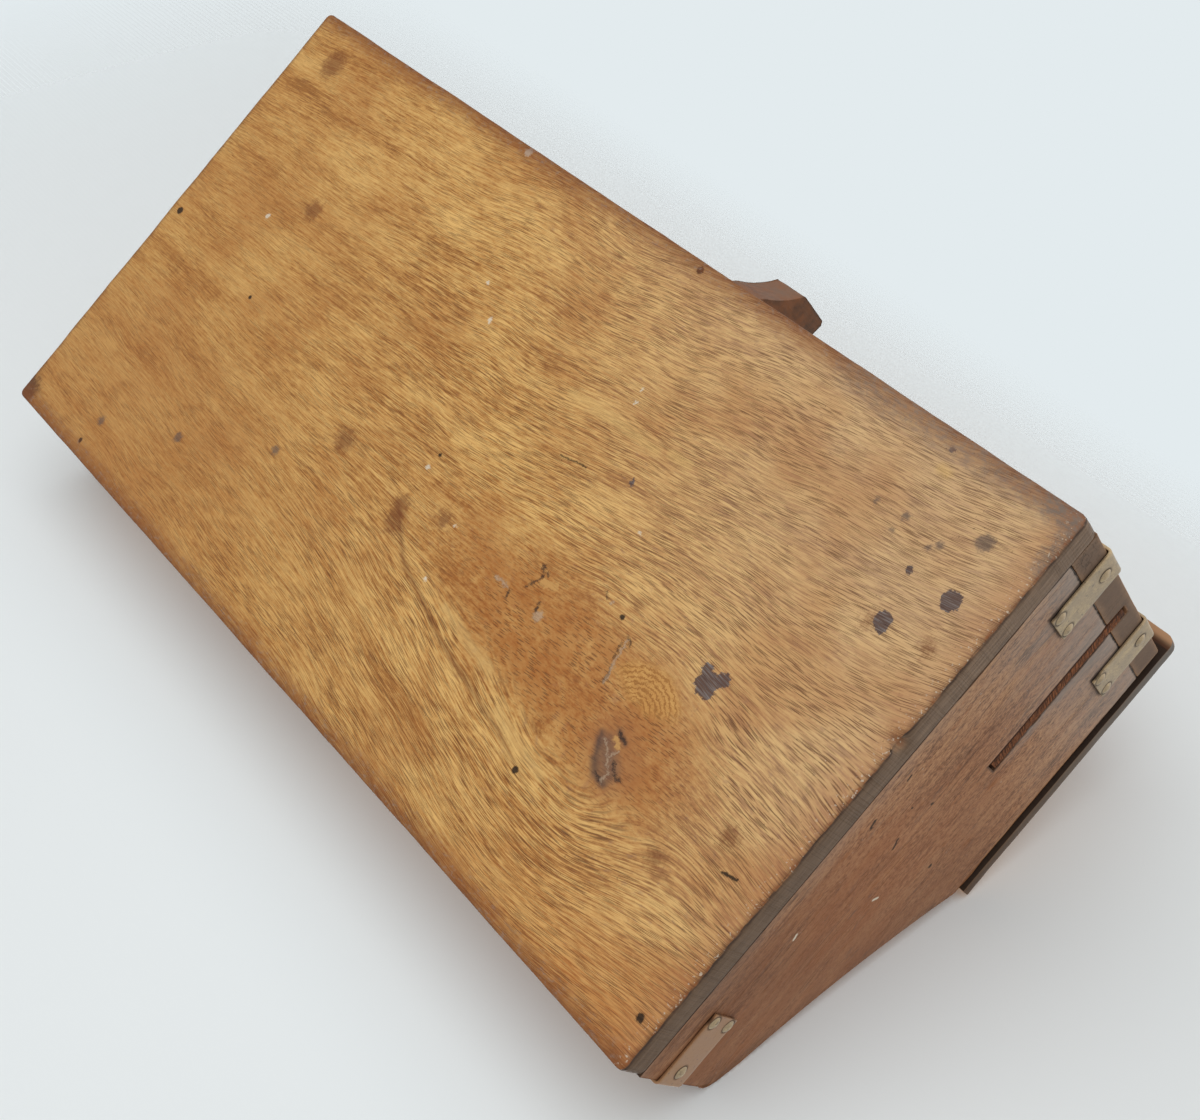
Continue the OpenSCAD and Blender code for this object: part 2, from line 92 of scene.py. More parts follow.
def on_slope(along, out):
    """The (y, z) of a point on the slope: along it from the foot, and out of its face."""
    return (-HALF_Y + along * math.cos(SLOPE) - out * math.sin(SLOPE),
            FOOT_Z + along * math.sin(SLOPE) + out * math.cos(SLOPE))


# ---- sizes and colours -------------------------------------------------------------------------


def length(name, description, default, low, high):
    return FloatProperty(name=name, description=description, default=default * MM, min=low * MM,
                         max=high * MM, unit="LENGTH", subtype="DISTANCE", precision=5)


def colour(name, description, red, green, blue):
    return FloatVectorProperty(name=name, description=description, subtype="COLOR_GAMMA", size=3,
                               default=(red / 255, green / 255, blue / 255), min=0, max=1)


class LetterBoxSizes(bpy.types.PropertyGroup):
    """Small sizes of wear and handwork."""
    base_corner: length("Base corners", "Radius of the base board's corners", 2.2, 0.5, 4)
    base_arris: length("Base arrises", "Rounding of the base board's lower edges", 0.7, 0.3, 3)
    board_arris: length("Board arrises", "Rounding of the boards' outer edges", 0.7, 0.2, 1.5)
    lid_corner: length("Lid corners", "Radius of the flat lid's back corners", 3.4, 1, 6)
    ragged_end: length("Ragged end", "Depth of the chips along the base's left end", 0.9, 0, 3)
    edge_wear: length("Edge wear", "Depth of the worn places on long edges", 0.5, 0, 1.5)
    rest_arris: length("Lid rest arrises", "Rounding of the lid rest's edges", 1.1, 0.3, 2)
    strap_bevel: length("Strap edges", "Rounding of the straps' edges", 0.22, 0.05, 0.4)
    strap_lift: length("Strap lift", "How far a strap's free end stands off the wood", 0.22, 0, 0.5)


class LetterBoxColours(bpy.types.PropertyGroup):
    """Colours of the timbers and metals."""
    base_light: colour("Base, light", "Light streaks of the base board", 214, 171, 104)
    base_mid: colour("Base, middle", "Body colour of the base board", 194, 143, 80)
    base_dark: colour("Base, dark", "Dark streaks of the base board", 150, 98, 48)
    base_red: colour("Base, red", "Reddish places of the base board", 160, 96, 44)
    stain: colour("Stains", "Dark stains on the base board", 78, 60, 58)
    board_light: colour("Boards, light", "Light streaks of the box's boards", 190, 146, 106)
    board_mid: colour("Boards, middle", "Body colour of the box's boards", 160, 118, 86)
    board_dark: colour("Boards, dark", "Dark streaks of the box's boards", 94, 66, 48)
    board_red: colour("Boards, red", "Reddish places of the box's boards", 150, 92, 54)
    inner_mid: colour("Inside", "Bare wood inside the box", 140, 100, 68)
    inner_dark: colour("Inside, dark", "Dark streaks of the wood inside", 96, 62, 40)
    shelf_mid: colour("Shelf", "Sawn wood of the shelf", 104, 61, 34)
    carved_mid: colour("Lid rest", "Carved wood of the lid rest", 112, 72, 50)
    carved_dark: colour("Lid rest, dark", "Dark streaks of the lid rest", 52, 32, 26)
    brass_bright: colour("Brass, bright", "Rubbed brass", 204, 178, 134)
    brass_dull: colour("Brass, dull", "Tarnished brass", 160, 138, 108)
    iron: colour("Iron", "Old iron nails", 58, 50, 46)
    # Grime also stands in for painted shade: along the straps' edges, round the slot, at the shelf
    # end's foot and under the lids.
    grime: colour("Grime", "Dirt in joints and round the pins", 40, 30, 25)
    table: colour("Table", "The pale table and floor", 236, 241, 242)
    backdrop: colour("Backdrop", "What the camera sees behind the table", 227, 235, 238)


# ---- modelling ---------------------------------------------------------------------------------


def alone(piece):
    """Selects one object and nothing else."""
    bpy.ops.object.select_all(action="DESELECT")
    piece.select_set(True)
    bpy.context.view_layer.objects.active = piece


@contextmanager
def editing(piece, kind, action="DESELECT"):
    """Edit mode on one piece, with nothing selected at first, or all of it."""
    alone(piece)
    bpy.ops.object.mode_set(mode="EDIT")
    bpy.ops.mesh.select_mode(type=kind)
    bpy.ops.mesh.select_all(action=action)
    yield
    bpy.ops.object.mode_set(mode="OBJECT")


def pick(piece, kind, test):
    """Selects the edges, faces or vertices that pass a test, and returns how many."""
    mesh = bmesh.from_edit_mesh(piece.data)
    found = [part for part in getattr(mesh, kind) if test(part)]
    for part in found:
        part.select_set(True)
    bmesh.update_edit_mesh(piece.data)
    return len(found)


def settle(piece):
    """Puts the object's place, turn and scale into its mesh."""
    alone(piece)
    bpy.ops.object.transform_apply(location=True, rotation=True, scale=True)


def made(name, scale=(1, 1, 1)):
    """Names the object that was just added, and settles it at a scale."""
    piece = bpy.context.object
    piece.name = piece.data.name = name
    piece.scale = scale
    settle(piece)
    return piece


def block(name, low, high):
    """A box between two corners given in millimetres."""
    low, high = Vector(low), Vector(high)
    bpy.ops.mesh.primitive_cube_add(size=1, location=(low + high) / 2 * MM)
    return made(name, (high - low) * MM)


def rod(name, start, end, radius, sides):
    """A round bar between two points given in millimetres."""
    start, end = Vector(start), Vector(end)
    way = end - start
    bpy.ops.mesh.primitive_cylinder_add(vertices=sides, radius=radius * MM, depth=way.length * MM,
                                        location=(start + end) / 2 * MM,
                                        rotation=way.to_track_quat("Z", "Y").to_euler())
    return made(name)


def slice_off(piece, point, normal):
    """Cuts away what lies on the normal's side of a plane and closes the cut."""
    with editing(piece, "FACE", "SELECT"):
        bpy.ops.mesh.bisect(plane_co=Vector(point) * MM, plane_no=normal, use_fill=True,
                            clear_outer=True)


def score(piece, axis, places):
    """Cuts lines round a piece across an axis, so that its surface can be worn."""
    normal = [0, 0, 0]
    normal[axis] = 1
    with editing(piece, "FACE"):
        for place in places:
            bpy.ops.mesh.select_all(action="SELECT")
            point = [0, 0, 0]
            point[axis] = place * MM
            bpy.ops.mesh.bisect(plane_co=point, plane_no=normal)


def steps(start, stop, step):
    """Places between two ends, no further apart than a step."""
    count = max(2, math.ceil(abs(stop - start) / step))
    return [start + (stop - start) * i / count for i in range(1, count)]


def use_modifier(piece, kind, **settings):
    """Adds a modifier with its settings and applies it."""
    alone(piece)
    modifier = piece.modifiers.new(kind.title(), kind)
    for key, value in settings.items():
        setattr(modifier, key, value)
    bpy.ops.object.modifier_apply(modifier=modifier.name)


def carve(piece, cutter):
    """Cuts one shape out of a piece."""
    use_modifier(piece, "BOOLEAN", operation="DIFFERENCE", solver="EXACT", object=cutter)
    bpy.data.objects.remove(cutter)


def is_sharp(edge):
    """Whether two faces meet at an edge in more than a small angle."""
    return len(edge.link_faces) == 2 and edge.calc_face_angle(0) > SHARP_ANGLE


def ease(piece, width, test=lambda a, b: True, segments=3):
    """Rounds the sharp edges whose two ends, in millimetres, pass a test."""
    with editing(piece, "EDGE"):
        if pick(piece, "edges", lambda edge: is_sharp(edge)
                and test(edge.verts[0].co / MM, edge.verts[1].co / MM)):
            bpy.ops.mesh.bevel(offset=width, offset_type="OFFSET", segments=segments,
                               clamp_overlap=True)


def wear(piece, name, depth, size, weight=None, rough=2):
    """Sinks the surface unevenly, by up to a depth, in patches of a size in millimetres."""
    texture = bpy.data.textures.new(name, "CLOUDS")
    texture.noise_scale = size * MM
    texture.noise_depth = rough
    settings = dict(texture=texture, texture_coords="LOCAL", strength=depth, mid_level=1)
    if weight:
        group = piece.vertex_groups.new(name=name)
        for vertex in piece.data.vertices:
            amount = weight(vertex.co / MM)
            if amount > 0:
                group.add([vertex.index], min(amount, 1), "REPLACE")
        settings["vertex_group"] = name
    use_modifier(piece, "DISPLACE", **settings)
    bpy.data.textures.remove(texture)
    piece.vertex_groups.clear()


def ramp(value, low, high):
    """0 at low and 1 at high, straight between them; low may be the larger."""
    return min(max((value - low) / (high - low), 0), 1)


def edge_nearness(low, high, width):
    """A weight that is 1 on the edges of a box and falls to 0 over a width."""
    def weight(at):
        near = sorted(min(at[i] - low[i], high[i] - at[i]) for i in range(3))
        return ramp(near[1], width, 0)
    return weight


def twin(piece, name):
    """A copy of an object with a mesh of its own."""
    copy = piece.copy()
    copy.data = piece.data.copy()
    copy.name = copy.data.name = name
    bpy.context.scene.collection.objects.link(copy)
    return copy


def turned_copy(piece, name):
    """A mirror image of a piece on the other side of the box."""
    copy = twin(piece, name)
    copy.scale.x = -1
    settle(copy)
    with editing(copy, "FACE", "SELECT"):
        bpy.ops.mesh.normals_make_consistent(inside=False)
    return copy


def eased_copy(node, name, width, segments=2):
    """A copy of a joined solid with merged faces and rounded edges."""
    piece = twin(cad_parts[node], name)
    piece.parent = None
    for key in list(piece.keys()):
        del piece[key]
    piece.data.materials.clear()
    with editing(piece, "VERT", "SELECT"):
        bpy.ops.mesh.remove_doubles(threshold=0.002 * MM)
        bpy.ops.mesh.dissolve_limited(angle_limit=math.radians(1))
    if piece.data.has_custom_normals:
        alone(piece)
        bpy.ops.mesh.customdata_custom_splitnormals_clear()
    ease(piece, width * MM, segments=segments)
    return piece


def dress(piece, body, node, finish):
    """Gives a finished piece its shading, material and body, and hides the solid that it stands
    for.
    """
    alone(piece)
    bpy.ops.object.shade_smooth_by_angle(angle=SMOOTH_ANGLE)
    piece.data.materials.clear()
    piece.data.materials.append(finish)
    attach(piece, body)
    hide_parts(node)


def coat(node, finish):
    """Gives a joined solid its material."""
    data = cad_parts[node].data
    data.materials.clear()
    data.materials.append(finish)


# ---- materials ---------------------------------------------------------------------------------


class Value:
    """A socket that holds a number; arithmetic on it adds Math nodes."""

    def __init__(self, finish, socket):
        self.finish, self.socket = finish, socket

    def math(self, operation, *others):
        return self.made(operation, self, *others)

    def made(self, operation, *inputs):
        """A Math node over numbers and sockets in their order."""
        return Value(self.finish, self.finish.node("ShaderNodeMath", {"operation": operation},
                                                   inputs))

    def __add__(self, other): return self.math("ADD", other)
    def __radd__(self, other): return self.math("ADD", other)
    def __mul__(self, other): return self.math("MULTIPLY", other)
    def __rmul__(self, other): return self.math("MULTIPLY", other)
    def __sub__(self, other): return self.math("SUBTRACT", other)
    def __rsub__(self, other): return self.made("SUBTRACT", other, self)
    def __truediv__(self, other): return self.math("DIVIDE", other)
    def __neg__(self): return self.math("MULTIPLY", -1)
    def __abs__(self): return self.math("ABSOLUTE")
    def least(self, other): return self.math("MINIMUM", other)
    def most(self, other): return self.math("MAXIMUM", other)

    def span(self, low, high, start=0, end=1):
        """Smooth step from start at low to end at high."""
        if low > high:
            low, high, start, end = high, low, end, start
        return Value(self.finish, self.finish.node(
            "ShaderNodeMapRange", {"interpolation_type": "SMOOTHSTEP"},
            (self, low, high, start, end)))


class Nodes:
    """Adds nodes to an emptied tree."""

    def __init__(self, owner):
        owner.use_nodes = True
        self.tree = owner.node_tree
        self.tree.nodes.clear()

    def node(self, kind, settings, inputs, output=0):
        """Adds a node: its settings first, then the values or links of its sockets."""
        node = self.tree.nodes.new(kind)
        for key, value in settings.items():
            if key == "stops":
                elements = node.color_ramp.elements
                while len(elements) < len(value):
                    elements.new(1)
                for element, (position, shade) in zip(elements, value):
                    element.position, element.color = position, (*shade, 1)
            else:
                setattr(node, key, value)
        pairs = inputs.items() if isinstance(inputs, dict) else enumerate(inputs)
        for key, value in pairs:
            socket = node.inputs[key]
            if isinstance(value, Value):
                value = value.socket
            if isinstance(value, bpy.types.NodeSocket):
                self.tree.links.new(value, socket)
            elif isinstance(value, (tuple, list, Vector)) and len(value) == 3 \
                    and socket.type == "RGBA":
                socket.default_value = (*value, 1)
            else:
                socket.default_value = value
        return node.outputs[output] if node.outputs else None


class Finish(Nodes):
    """Builds one material. Lengths in its coordinates are millimetres."""

    def __init__(self, name):
        self.material = bpy.data.materials.new(name)
        super().__init__(self.material)
        own = self.node("ShaderNodeTexCoord", {}, (), "Object")
        self.x, self.y, self.z = self.parts(self.vector("SCALE", own, 1 / MM))
        self.base = None

    def parts(self, vector):
        split = self.node("ShaderNodeSeparateXYZ", {}, (vector,))
        return [Value(self, socket) for socket in split.node.outputs]

    def facing(self):
        """The object's own normal, as three numbers."""
        return self.parts(self.node("ShaderNodeTexCoord", {}, (), "Normal"))

    def vector(self, operation, *inputs, output=0):
        """A vector or, at output 1, a number made from vectors; to scale one takes a number."""
        keys = (0, 3) if operation == "SCALE" else (0, 1)
        return self.node("ShaderNodeVectorMath", {"operation": operation}, dict(zip(keys, inputs)),
                         output)

    def place(self, *numbers):
        """A vector made from two or three numbers."""
        return self.node("ShaderNodeCombineXYZ", {}, numbers)

    def noise(self, x, y, z=None, detail=3, rough=0.55):
        """Noise between 0 and 1 at a place given by two or three numbers."""
        place = self.place(x, y) if z is None else self.place(x, y, z)
        return Value(self, self.node("ShaderNodeTexNoise", {
            "noise_dimensions": "2D" if z is None else "3D"}, {
            "Vector": place, "Scale": 1.0, "Detail": detail, "Roughness": rough}, "Fac"))

    def dashes(self, x, y):
        """How far a place is from the nearest of many scattered points."""
        return Value(self, self.node("ShaderNodeTexVoronoi", {"voronoi_dimensions": "2D"}, {
            "Vector": self.place(x, y), "Scale": 1.0}, "Distance"))

    def blotch(self, size, seed=0.0, detail=2):
        """Noise in round patches of a size."""
        return self.noise(self.x / size, self.y / size, self.z / size + seed, detail)

    def mix(self, amount, first, second):
        """The second colour over the first."""
        return self.node("ShaderNodeMix", {"data_type": "RGBA", "clamp_factor": True},
                         {0: amount, 6: first, 7: second}, 2)

    def lay(self, amount, shade):
        """Lays a colour over what the material shows so far."""
        self.base = self.mix(amount, self.base, shade)

    def tint(self, amount, *colour):
        """Lays a display colour over what the material shows so far."""
        self.lay(amount, linear(colour))

    def shades(self, amount, *stops):
        """A colour that runs through stops of (position, colour)."""
        return self.node("ShaderNodeValToRGB", {"stops": stops}, (amount,))

    def reach(self, place, marks):
        """How far a place lies outside the nearest mark: a spot, or a stroke with two ends."""
        nearest = None
        for *ends, radius in marks:
            start = Vector((*ends[:2], 0))
            gap = self.vector("SUBTRACT", place, start)
            if len(ends) == 4:
                way = Vector((*ends[2:], 0)) - start
                ahead = way.normalized()
                along = Value(self, self.vector("DOT_PRODUCT", gap, ahead, output=1))
                along = along.most(0).least(way.length)
                gap = self.vector("SUBTRACT", gap, self.vector("SCALE", ahead, along))
            away = Value(self, self.vector("LENGTH", gap, output=1)) - radius
            nearest = away if nearest is None else nearest.least(away)
        return nearest

    def edges(self, low, high, width, rough=1.0):
        """A mask that is 1 along the edges of a box, with an uneven border."""
        near = [(at - lo).least(hi - at) for at, lo, hi in zip((self.x, self.y, self.z), low, high)]
        second = near[0].least(near[1]).most(near[0].most(near[1]).least(near[2]))
        uneven = self.blotch(4.5, 7.0, 4)
        return (second + (uneven - 0.5) * (2 * rough)).span(width, 0)

    def done(self, roughness, height, bump, depth, metallic=0.0, **constants):
        """Ends the material in one shader; what doesn't vary is set on its own sockets."""
        sockets = {"Base Color": self.base, "Roughness": roughness, "Metallic": metallic}
        sockets.update({key.replace("_", " "): value for key, value in constants.items()})
        sockets["Normal"] = self.node("ShaderNodeBump", {}, {
            "Strength": bump, "Distance": depth * MM, "Height": height})
        shader = self.node("ShaderNodeBsdfPrincipled", {}, sockets)
        self.node("ShaderNodeOutputMaterial", {}, (shader,))
        return self.material


def linear(colour):
    """A display colour as the linear values that sockets take."""
    return tuple(c / 12.92 if c <= 0.04045 else ((c + 0.055) / 1.055) ** 2.4 for c in colour)


def darker(colour, amount):
    """A linear colour times an amount, which may be over 1."""
    return tuple(c * amount for c in colour)


# Marks on the underside of the base, in millimetres: x, y, radius, or x, y, x, y, half width.
STAINS = [(-111.6, -2.6, 3.3), (-109.0, 0.2, 1.5), (-114.3, 0.5, 1.9), (-113.0, -4.6, 1.6),
          (-136.2, 35.6, 2.3), (-137.4, 33.6, 1.2), (-133.3, 48.8, 0.9), (-146.0, 48.6, 2.6),
          (-121.6, 77.6, 0.7), (-56.9, 23.7, 0.7), (-56.4, 24.6, -57.4, 22.8, 0.2)]
FAINT_STAINS = [(-143.3, 64.1, 2.2), (-135.0, 57.6, 1.0), (-123.5, 58.5, 1.0), (-114.7, 57.4, 0.7),
                (-133.2, 55.4, 0.7), (-123.0, 53.8, 0.5),
                (85.6, -53.8, 1.6), (49.9, -35.5, 1.4), (118, -68, 1.6)]
RED_PLACES = [(-3.6, -27.0, -1.5, -22.0, 2.6), (-16.4, -16.5, 1.8), (30.7, -19.1, 3.0),
              (103.6, 27.4, 2.6), (140.3, 68.5, 4.0), (-141.5, -25.5, 1.8), (-131, -42, 1.6),
              (-149, 37, 1.2), (-157.5, 16.7, 1.4), (-133.6, 33.4, 1.0)]
PIN_HOLES = [(-153.6, -70.3, 1.0), (-29.6, 79.7, 1.0), (-0.7, -4.0, 0.5), (-80.8, -4.2, 0.7),
             (-85.5, -51.0, 0.9), (100.6, -6.4, 0.6), (119.9, -77.5, 0.8),
             (-33.1, 17.4, -42.2, 19.4, 0.12), (-146.0, -33.0, -150.0, -32.0, 0.3),
             (153.9, -0.3, 1.2)]
SCUFFS = [(47.3, 80.6, 1.3), (-0.1, -8.8, 0.5), (-20.9, -15.8, 0.3), (-24.6, -32.1, 0.4),
          (16.9, 34.4, 0.7), (118.2, 16.9, 0.8), (26.6, 42.5, 0.5), (-40.1, 44.4, 0.3),
          (-41.1, 41.0, 0.3), (-68.8, 14.9, 0.3)]
GOLD_STREAKS = [(-122.6, 72.6, -124.4, 72.4, 0.9), (-22.7, 32.5, -31.3, 33.4, 0.8),
                (-31.3, 33.4, -56.1, 34.3, 1.0), (-60.7, 36.1, -66.9, 36.2, 0.8),
                (-60.3, -37.5, -36.0, -34.0, 1.0), (-70.0, -44.0, -92.0, -47.5, 1.2)]
GRAIN_LINE = [(0.6, -21.3), (-14.5, -32.5), (-41.7, -41.0), (-75.4, -47.5), (-99.4, -54.0),
              (-118.0, -53.0), (-132.5, -45.4)]
KNOT_RIM = [(-97.6, -28.8, -100.8, -34.6, 0.3), (-100.8, -34.6, -103.4, -37.4, 0.7),
            (-103.4, -37.4, -107.4, -38.0, 0.6), (-101.4, -25.6, -104.8, -27.0, 0.2)]
KNOT_DARKS = [(-101.6, -25.8, -104.6, -26.8, 0.3), (-108.2, -34.2, -110.4, -34.6, 0.3),
              (-105.6, -32.0, -107.6, -34.0, 0.25), (-103.8, -37.2, -106.4, -37.6, 0.15),
              (-52.0, -8.0, -55.1, -8.6, 0.35), (-52.2, -14.6, -54.1, -9.8, 0.2),
              (-59.2, -18.0, -58.6, -15.6, 0.3), (-49.3, -20.0, -48.6, -18.6, 0.3),
              (-72.3, -1.8, -74.0, -3.2, 0.1), (-85.4, -9.0, -86.6, -13.4, 0.1),
              (-87.6, -15.0, -88.6, -19.0, 0.1), (-88.2, -8.4, -86.0, -6.8, 0.15)]
KNOT_LIGHTS = [(-99.3, -29.4, -102.0, -31.0, 0.2), (-102.0, -31.0, -106.4, -35.4, 0.25),
               (-106.4, -35.4, -106.4, -38.0, 0.2), (-103.8, -32.1, -104.6, -29.4, 0.2),
               (-86.4, -7.6, -87.4, -13.4, 0.2), (-87.4, -13.4, -89.0, -19.4, 0.2),
               (-42.2, -18.1, -47.4, -18.4, 0.3), (-60.9, -18.6, 1.4), (-75.6, -3.2, 0.4)]
KNOT_GOLD = [(-102.0, -27.4, -103.4, -28.6, 0.6), (-55.6, -11.0, -59.2, -9.8, 1.0)]


def base_wood(colours):
    """Golden-brown plank: grain that parts round two knots, short dark pores, stains, worn ends."""
    light, mid, dark, red, grime = (linear(c) for c in (
        colours.base_light, colours.base_mid, colours.base_dark, colours.base_red, colours.grime))
    f = Finish("base wood")
    x, y, z = f.x, f.y, f.z
    # The grain runs along x. It parts round a ridge of knots and closes again behind it.
    off = y + 22 - x * 0.1
    lean = ((x + 98) / 75).most((x + 98) / -42)
    swell = (-(lean * lean + off * off / 1700)).math("EXPONENT")
    flow = y - off * swell * off.span(6, -10, 0.4, 0.95) + x * y.span(-45, 40, -0.05, 0.11) \
        - x * x * y.span(-25, 40) * 0.00025 + (f.noise(x / 80, y / 60, None, 2) - 0.5) * 7
    reach = ((x + 98) / 105).most((x + 98) / -42)
    ridge = (-(reach * reach + (off - 7) * (off - 7) / 520)).math("EXPONENT").span(0.28, 0.85)
    band = f.noise(x / 90, flow / 10, None, 2)
    streak = f.noise(x / 22, flow / 0.9, None, 3, 0.65)
    fibre = f.noise(x / 8, flow / 0.34, None, 2, 0.65)
    cloud = f.noise(x / 30 + 7, flow / 9, None, 3)
    mottle = f.noise(x / 2.6, y / 1.3, None, 4, 0.75)
    grain = (streak - 0.5) * 0.9 + (fibre - 0.5) * 1.55
    tone = 0.5 + (band - 0.5) * 0.55 + (cloud - 0.5) * 0.55 + (mottle - 0.5) * (ridge + 0.5) \
        + grain * (1 - ridge * 0.5) * x.span(-60, 110, 1, 0.65)
    f.base = f.shades(tone, (0.16, dark), (0.42, mid), (0.68, light), (0.98, darker(light, 1.16)))
    # Short dark pores lie along the grain, thick in some places and thin in others.
    crowd = f.noise(x / 24 + 3, flow / 5, None, 2).span(0.34, 0.6, 0.42, 1.0)
    pore = (f.dashes(x / 13, flow / 0.40).span(0.25, 0.09) * 0.95).most(
        f.dashes(x / 9 + 31, flow / 0.28).span(0.32, 0.14) * 0.75) * (1 - ridge)
    pore = pore.most(f.dashes(x / 5 + 9, (y + x * 0.1) / 0.55).span(0.30, 0.12) * ridge * 0.8)
    pore = pore * crowd * x.span(-40, 120, 1, 0.55)
    # Paler and greyer toward the near back corner: partly the wood's tone, partly a painted sheen.
    # More golden toward the front.
    lie = x * -0.006 + y * 0.007
    f.tint(lie.span(0.1, 1.25) * 0.58, 0.77, 0.66, 0.53)
    f.tint(lie.span(0.1, -0.75) * 0.3, 0.70, 0.49, 0.26)
    greyish = f.noise(x / 3.2, flow / 1.3, 4.0, 3, 0.7).span(0.56, 0.7)
    greyish = greyish * (lie + ridge).span(-0.5, 0.8, 0.3, 1)
    f.tint(greyish * 0.36, 0.57, 0.45, 0.37)
    region = f.blotch(34, 3.0, 3)
    f.lay(region.span(0.44, 0.68) * 0.34, red)
    f.lay(ridge * f.blotch(13, 5.0, 4).span(0.26, 0.62, 0.35, 1) * 0.7, red)
    f.tint(y.span(-48, -76) * x.span(-60, -140) * 0.35, 0.72, 0.44, 0.22)
    f.tint(x.span(-147, -158) * 0.4, 0.64, 0.42, 0.28)
    f.tint(x.span(20, 80) * y.span(-10, -45) * 0.3, 0.64, 0.42, 0.23)
    f.tint(pore * 0.8, 0.37, 0.24, 0.16)
    # Marks sit at places that fine noise pushes about.
    push = f.noise(x / 2, y / 2, None, 4, 0.8) - 0.5
    pull = f.noise(x / 2 + 40, y / 2, None, 4, 0.8) - 0.5
    at = f.place(x + push * 3, y + pull * 3)
    loose = f.place(x + push * 7, y + pull * 7)
    rings = f.reach(at, [(-100.5, -21.0, 0)])
    arc = rings.span(2, 4.5) * rings.span(15, 12) * ((y + 21) / (rings + 1)).span(0.25, 0.7)
    f.tint(arc * 0.5, 0.82, 0.62, 0.34)
    f.lay(arc * (rings * 4.6 + streak * 2).math("SINE").span(-0.2, 0.8) * 0.8, dark)
    near = f.place(x + push * 1.2, y + pull * 1.2)
    halo = f.reach(near, [(-101.5, -29.5, -107.0, -33.5, 3.4)]).span(8, 0)
    f.tint(halo * 0.6, 0.62, 0.41, 0.25)
    eye = f.reach(near, [(-100.7, -30.2, -106.4, -34.6, 2.0)]).span(2.6, -1.2)
    f.tint(eye * 0.68, 0.40, 0.31, 0.27)
    line = f.reach(near, [(*a, *b, 0.2) for a, b in zip(GRAIN_LINE, GRAIN_LINE[1:])])
    line = line.span(1.5, -0.4) * x.span(-104, -70)
    f.tint(line * 0.52, 0.40, 0.22, 0.12)
    reds = f.reach(loose, RED_PLACES).span(2.6, -1.4)
    f.tint(reds * 0.62, 0.44, 0.24, 0.13)
    corner = f.reach(loose, [(157, -79, 4)]).span(4, -1)
    f.tint(corner * 0.85, 0.33, 0.19, 0.13)
    knot = f.reach(at, KNOT_DARKS).span(0.5, -0.3) * mottle.span(0.75, 0.5)
    fleck = f.reach(at, KNOT_LIGHTS).span(0.45, -0.2) * mottle.span(0.25, 0.5)
    gold = f.reach(at, KNOT_GOLD).span(0.5, -0.1)
    stain = f.reach(at, STAINS).span(0.3, -0.15)
    faint = f.reach(at, FAINT_STAINS).span(0.7, -0.7)
    hole = f.reach(near, PIN_HOLES).span(0.3, -0.2)
    crescent = f.reach(near, KNOT_RIM).span(1.5, -0.7)
    f.tint(crescent * 0.7, 0.27, 0.23, 0.22)
    f.tint(knot * 0.85, 0.20, 0.16, 0.15)
    f.tint(fleck * 0.7, 0.70, 0.60, 0.50)
    f.tint(f.reach(near, GOLD_STREAKS).span(1.6, -0.8) * 0.5, 0.83, 0.68, 0.43)
    f.tint(gold * 0.75, 0.78, 0.60, 0.36)
    f.tint(faint * (0.45 + fibre * 0.5), 0.36, 0.31, 0.29)
    f.lay(stain * (0.8 + fibre * 0.25),
          f.shades(fibre, (0.45, linear(colours.stain)), (0.75, linear((0.50, 0.47, 0.46)))))
    f.lay(hole * 0.92, darker(grime, 0.6))
    f.tint(f.reach(at, SCUFFS).span(0.5, -0.2) * 0.75, 0.86, 0.83, 0.76)
    dust = mottle.span(0.76, 0.82) * lie.span(-0.3, 0.6, 0.4, 1)
    f.tint(dust * 0.6, 0.80, 0.74, 0.68)
    # Rubbed edges are dark and dirty; the left end is raw orange, with crumbs of dirt.
    ragged = f.blotch(3.2, 4.0, 4)
    rubbed = f.edges(BASE_LOW, BASE_HIGH, 2.4, 1.5)
    f.tint(rubbed * 0.62, 0.34, 0.20, 0.13)
    soiled = (abs(y) + ragged * 5 - 2).span(75.5, 81.5)
    f.tint(soiled * 0.6, 0.50, 0.29, 0.16)
    f.tint(soiled * mottle.span(0.52, 0.7) * 0.5, 0.56, 0.48, 0.43)
    border = (y + ragged * 6).span(75, 82) * x.span(-76, -92) * mottle.span(0.4, 0.6, 0.3, 0.9)
    f.tint(border * 0.6, 0.50, 0.43, 0.38)
    haze = f.reach(loose, [(-150, 80, -157, 79, 1.0), (-157, 79, -157.5, 66, 0.6),
                           (-157.2, 15, -1)]).span(3.6, -1)
    f.tint(haze * mottle.span(0.35, 0.6, 0.25, 0.75), 0.46, 0.41, 0.37)
    raw = (x + ragged * 2.8).span(-156.5, -157.2) * z.span(1.6, 0.7) * ragged.span(0.7, 0.5)
    f.tint(raw * mottle.span(0.35, 0.6) * 0.8, 0.55, 0.33, 0.19)
    crumbs = f.blotch(0.9, 8.0, 2)
    f.tint(crumbs.span(0.62, 0.68) * x.span(-153.5, -158) * 0.7, 0.80, 0.74, 0.66)
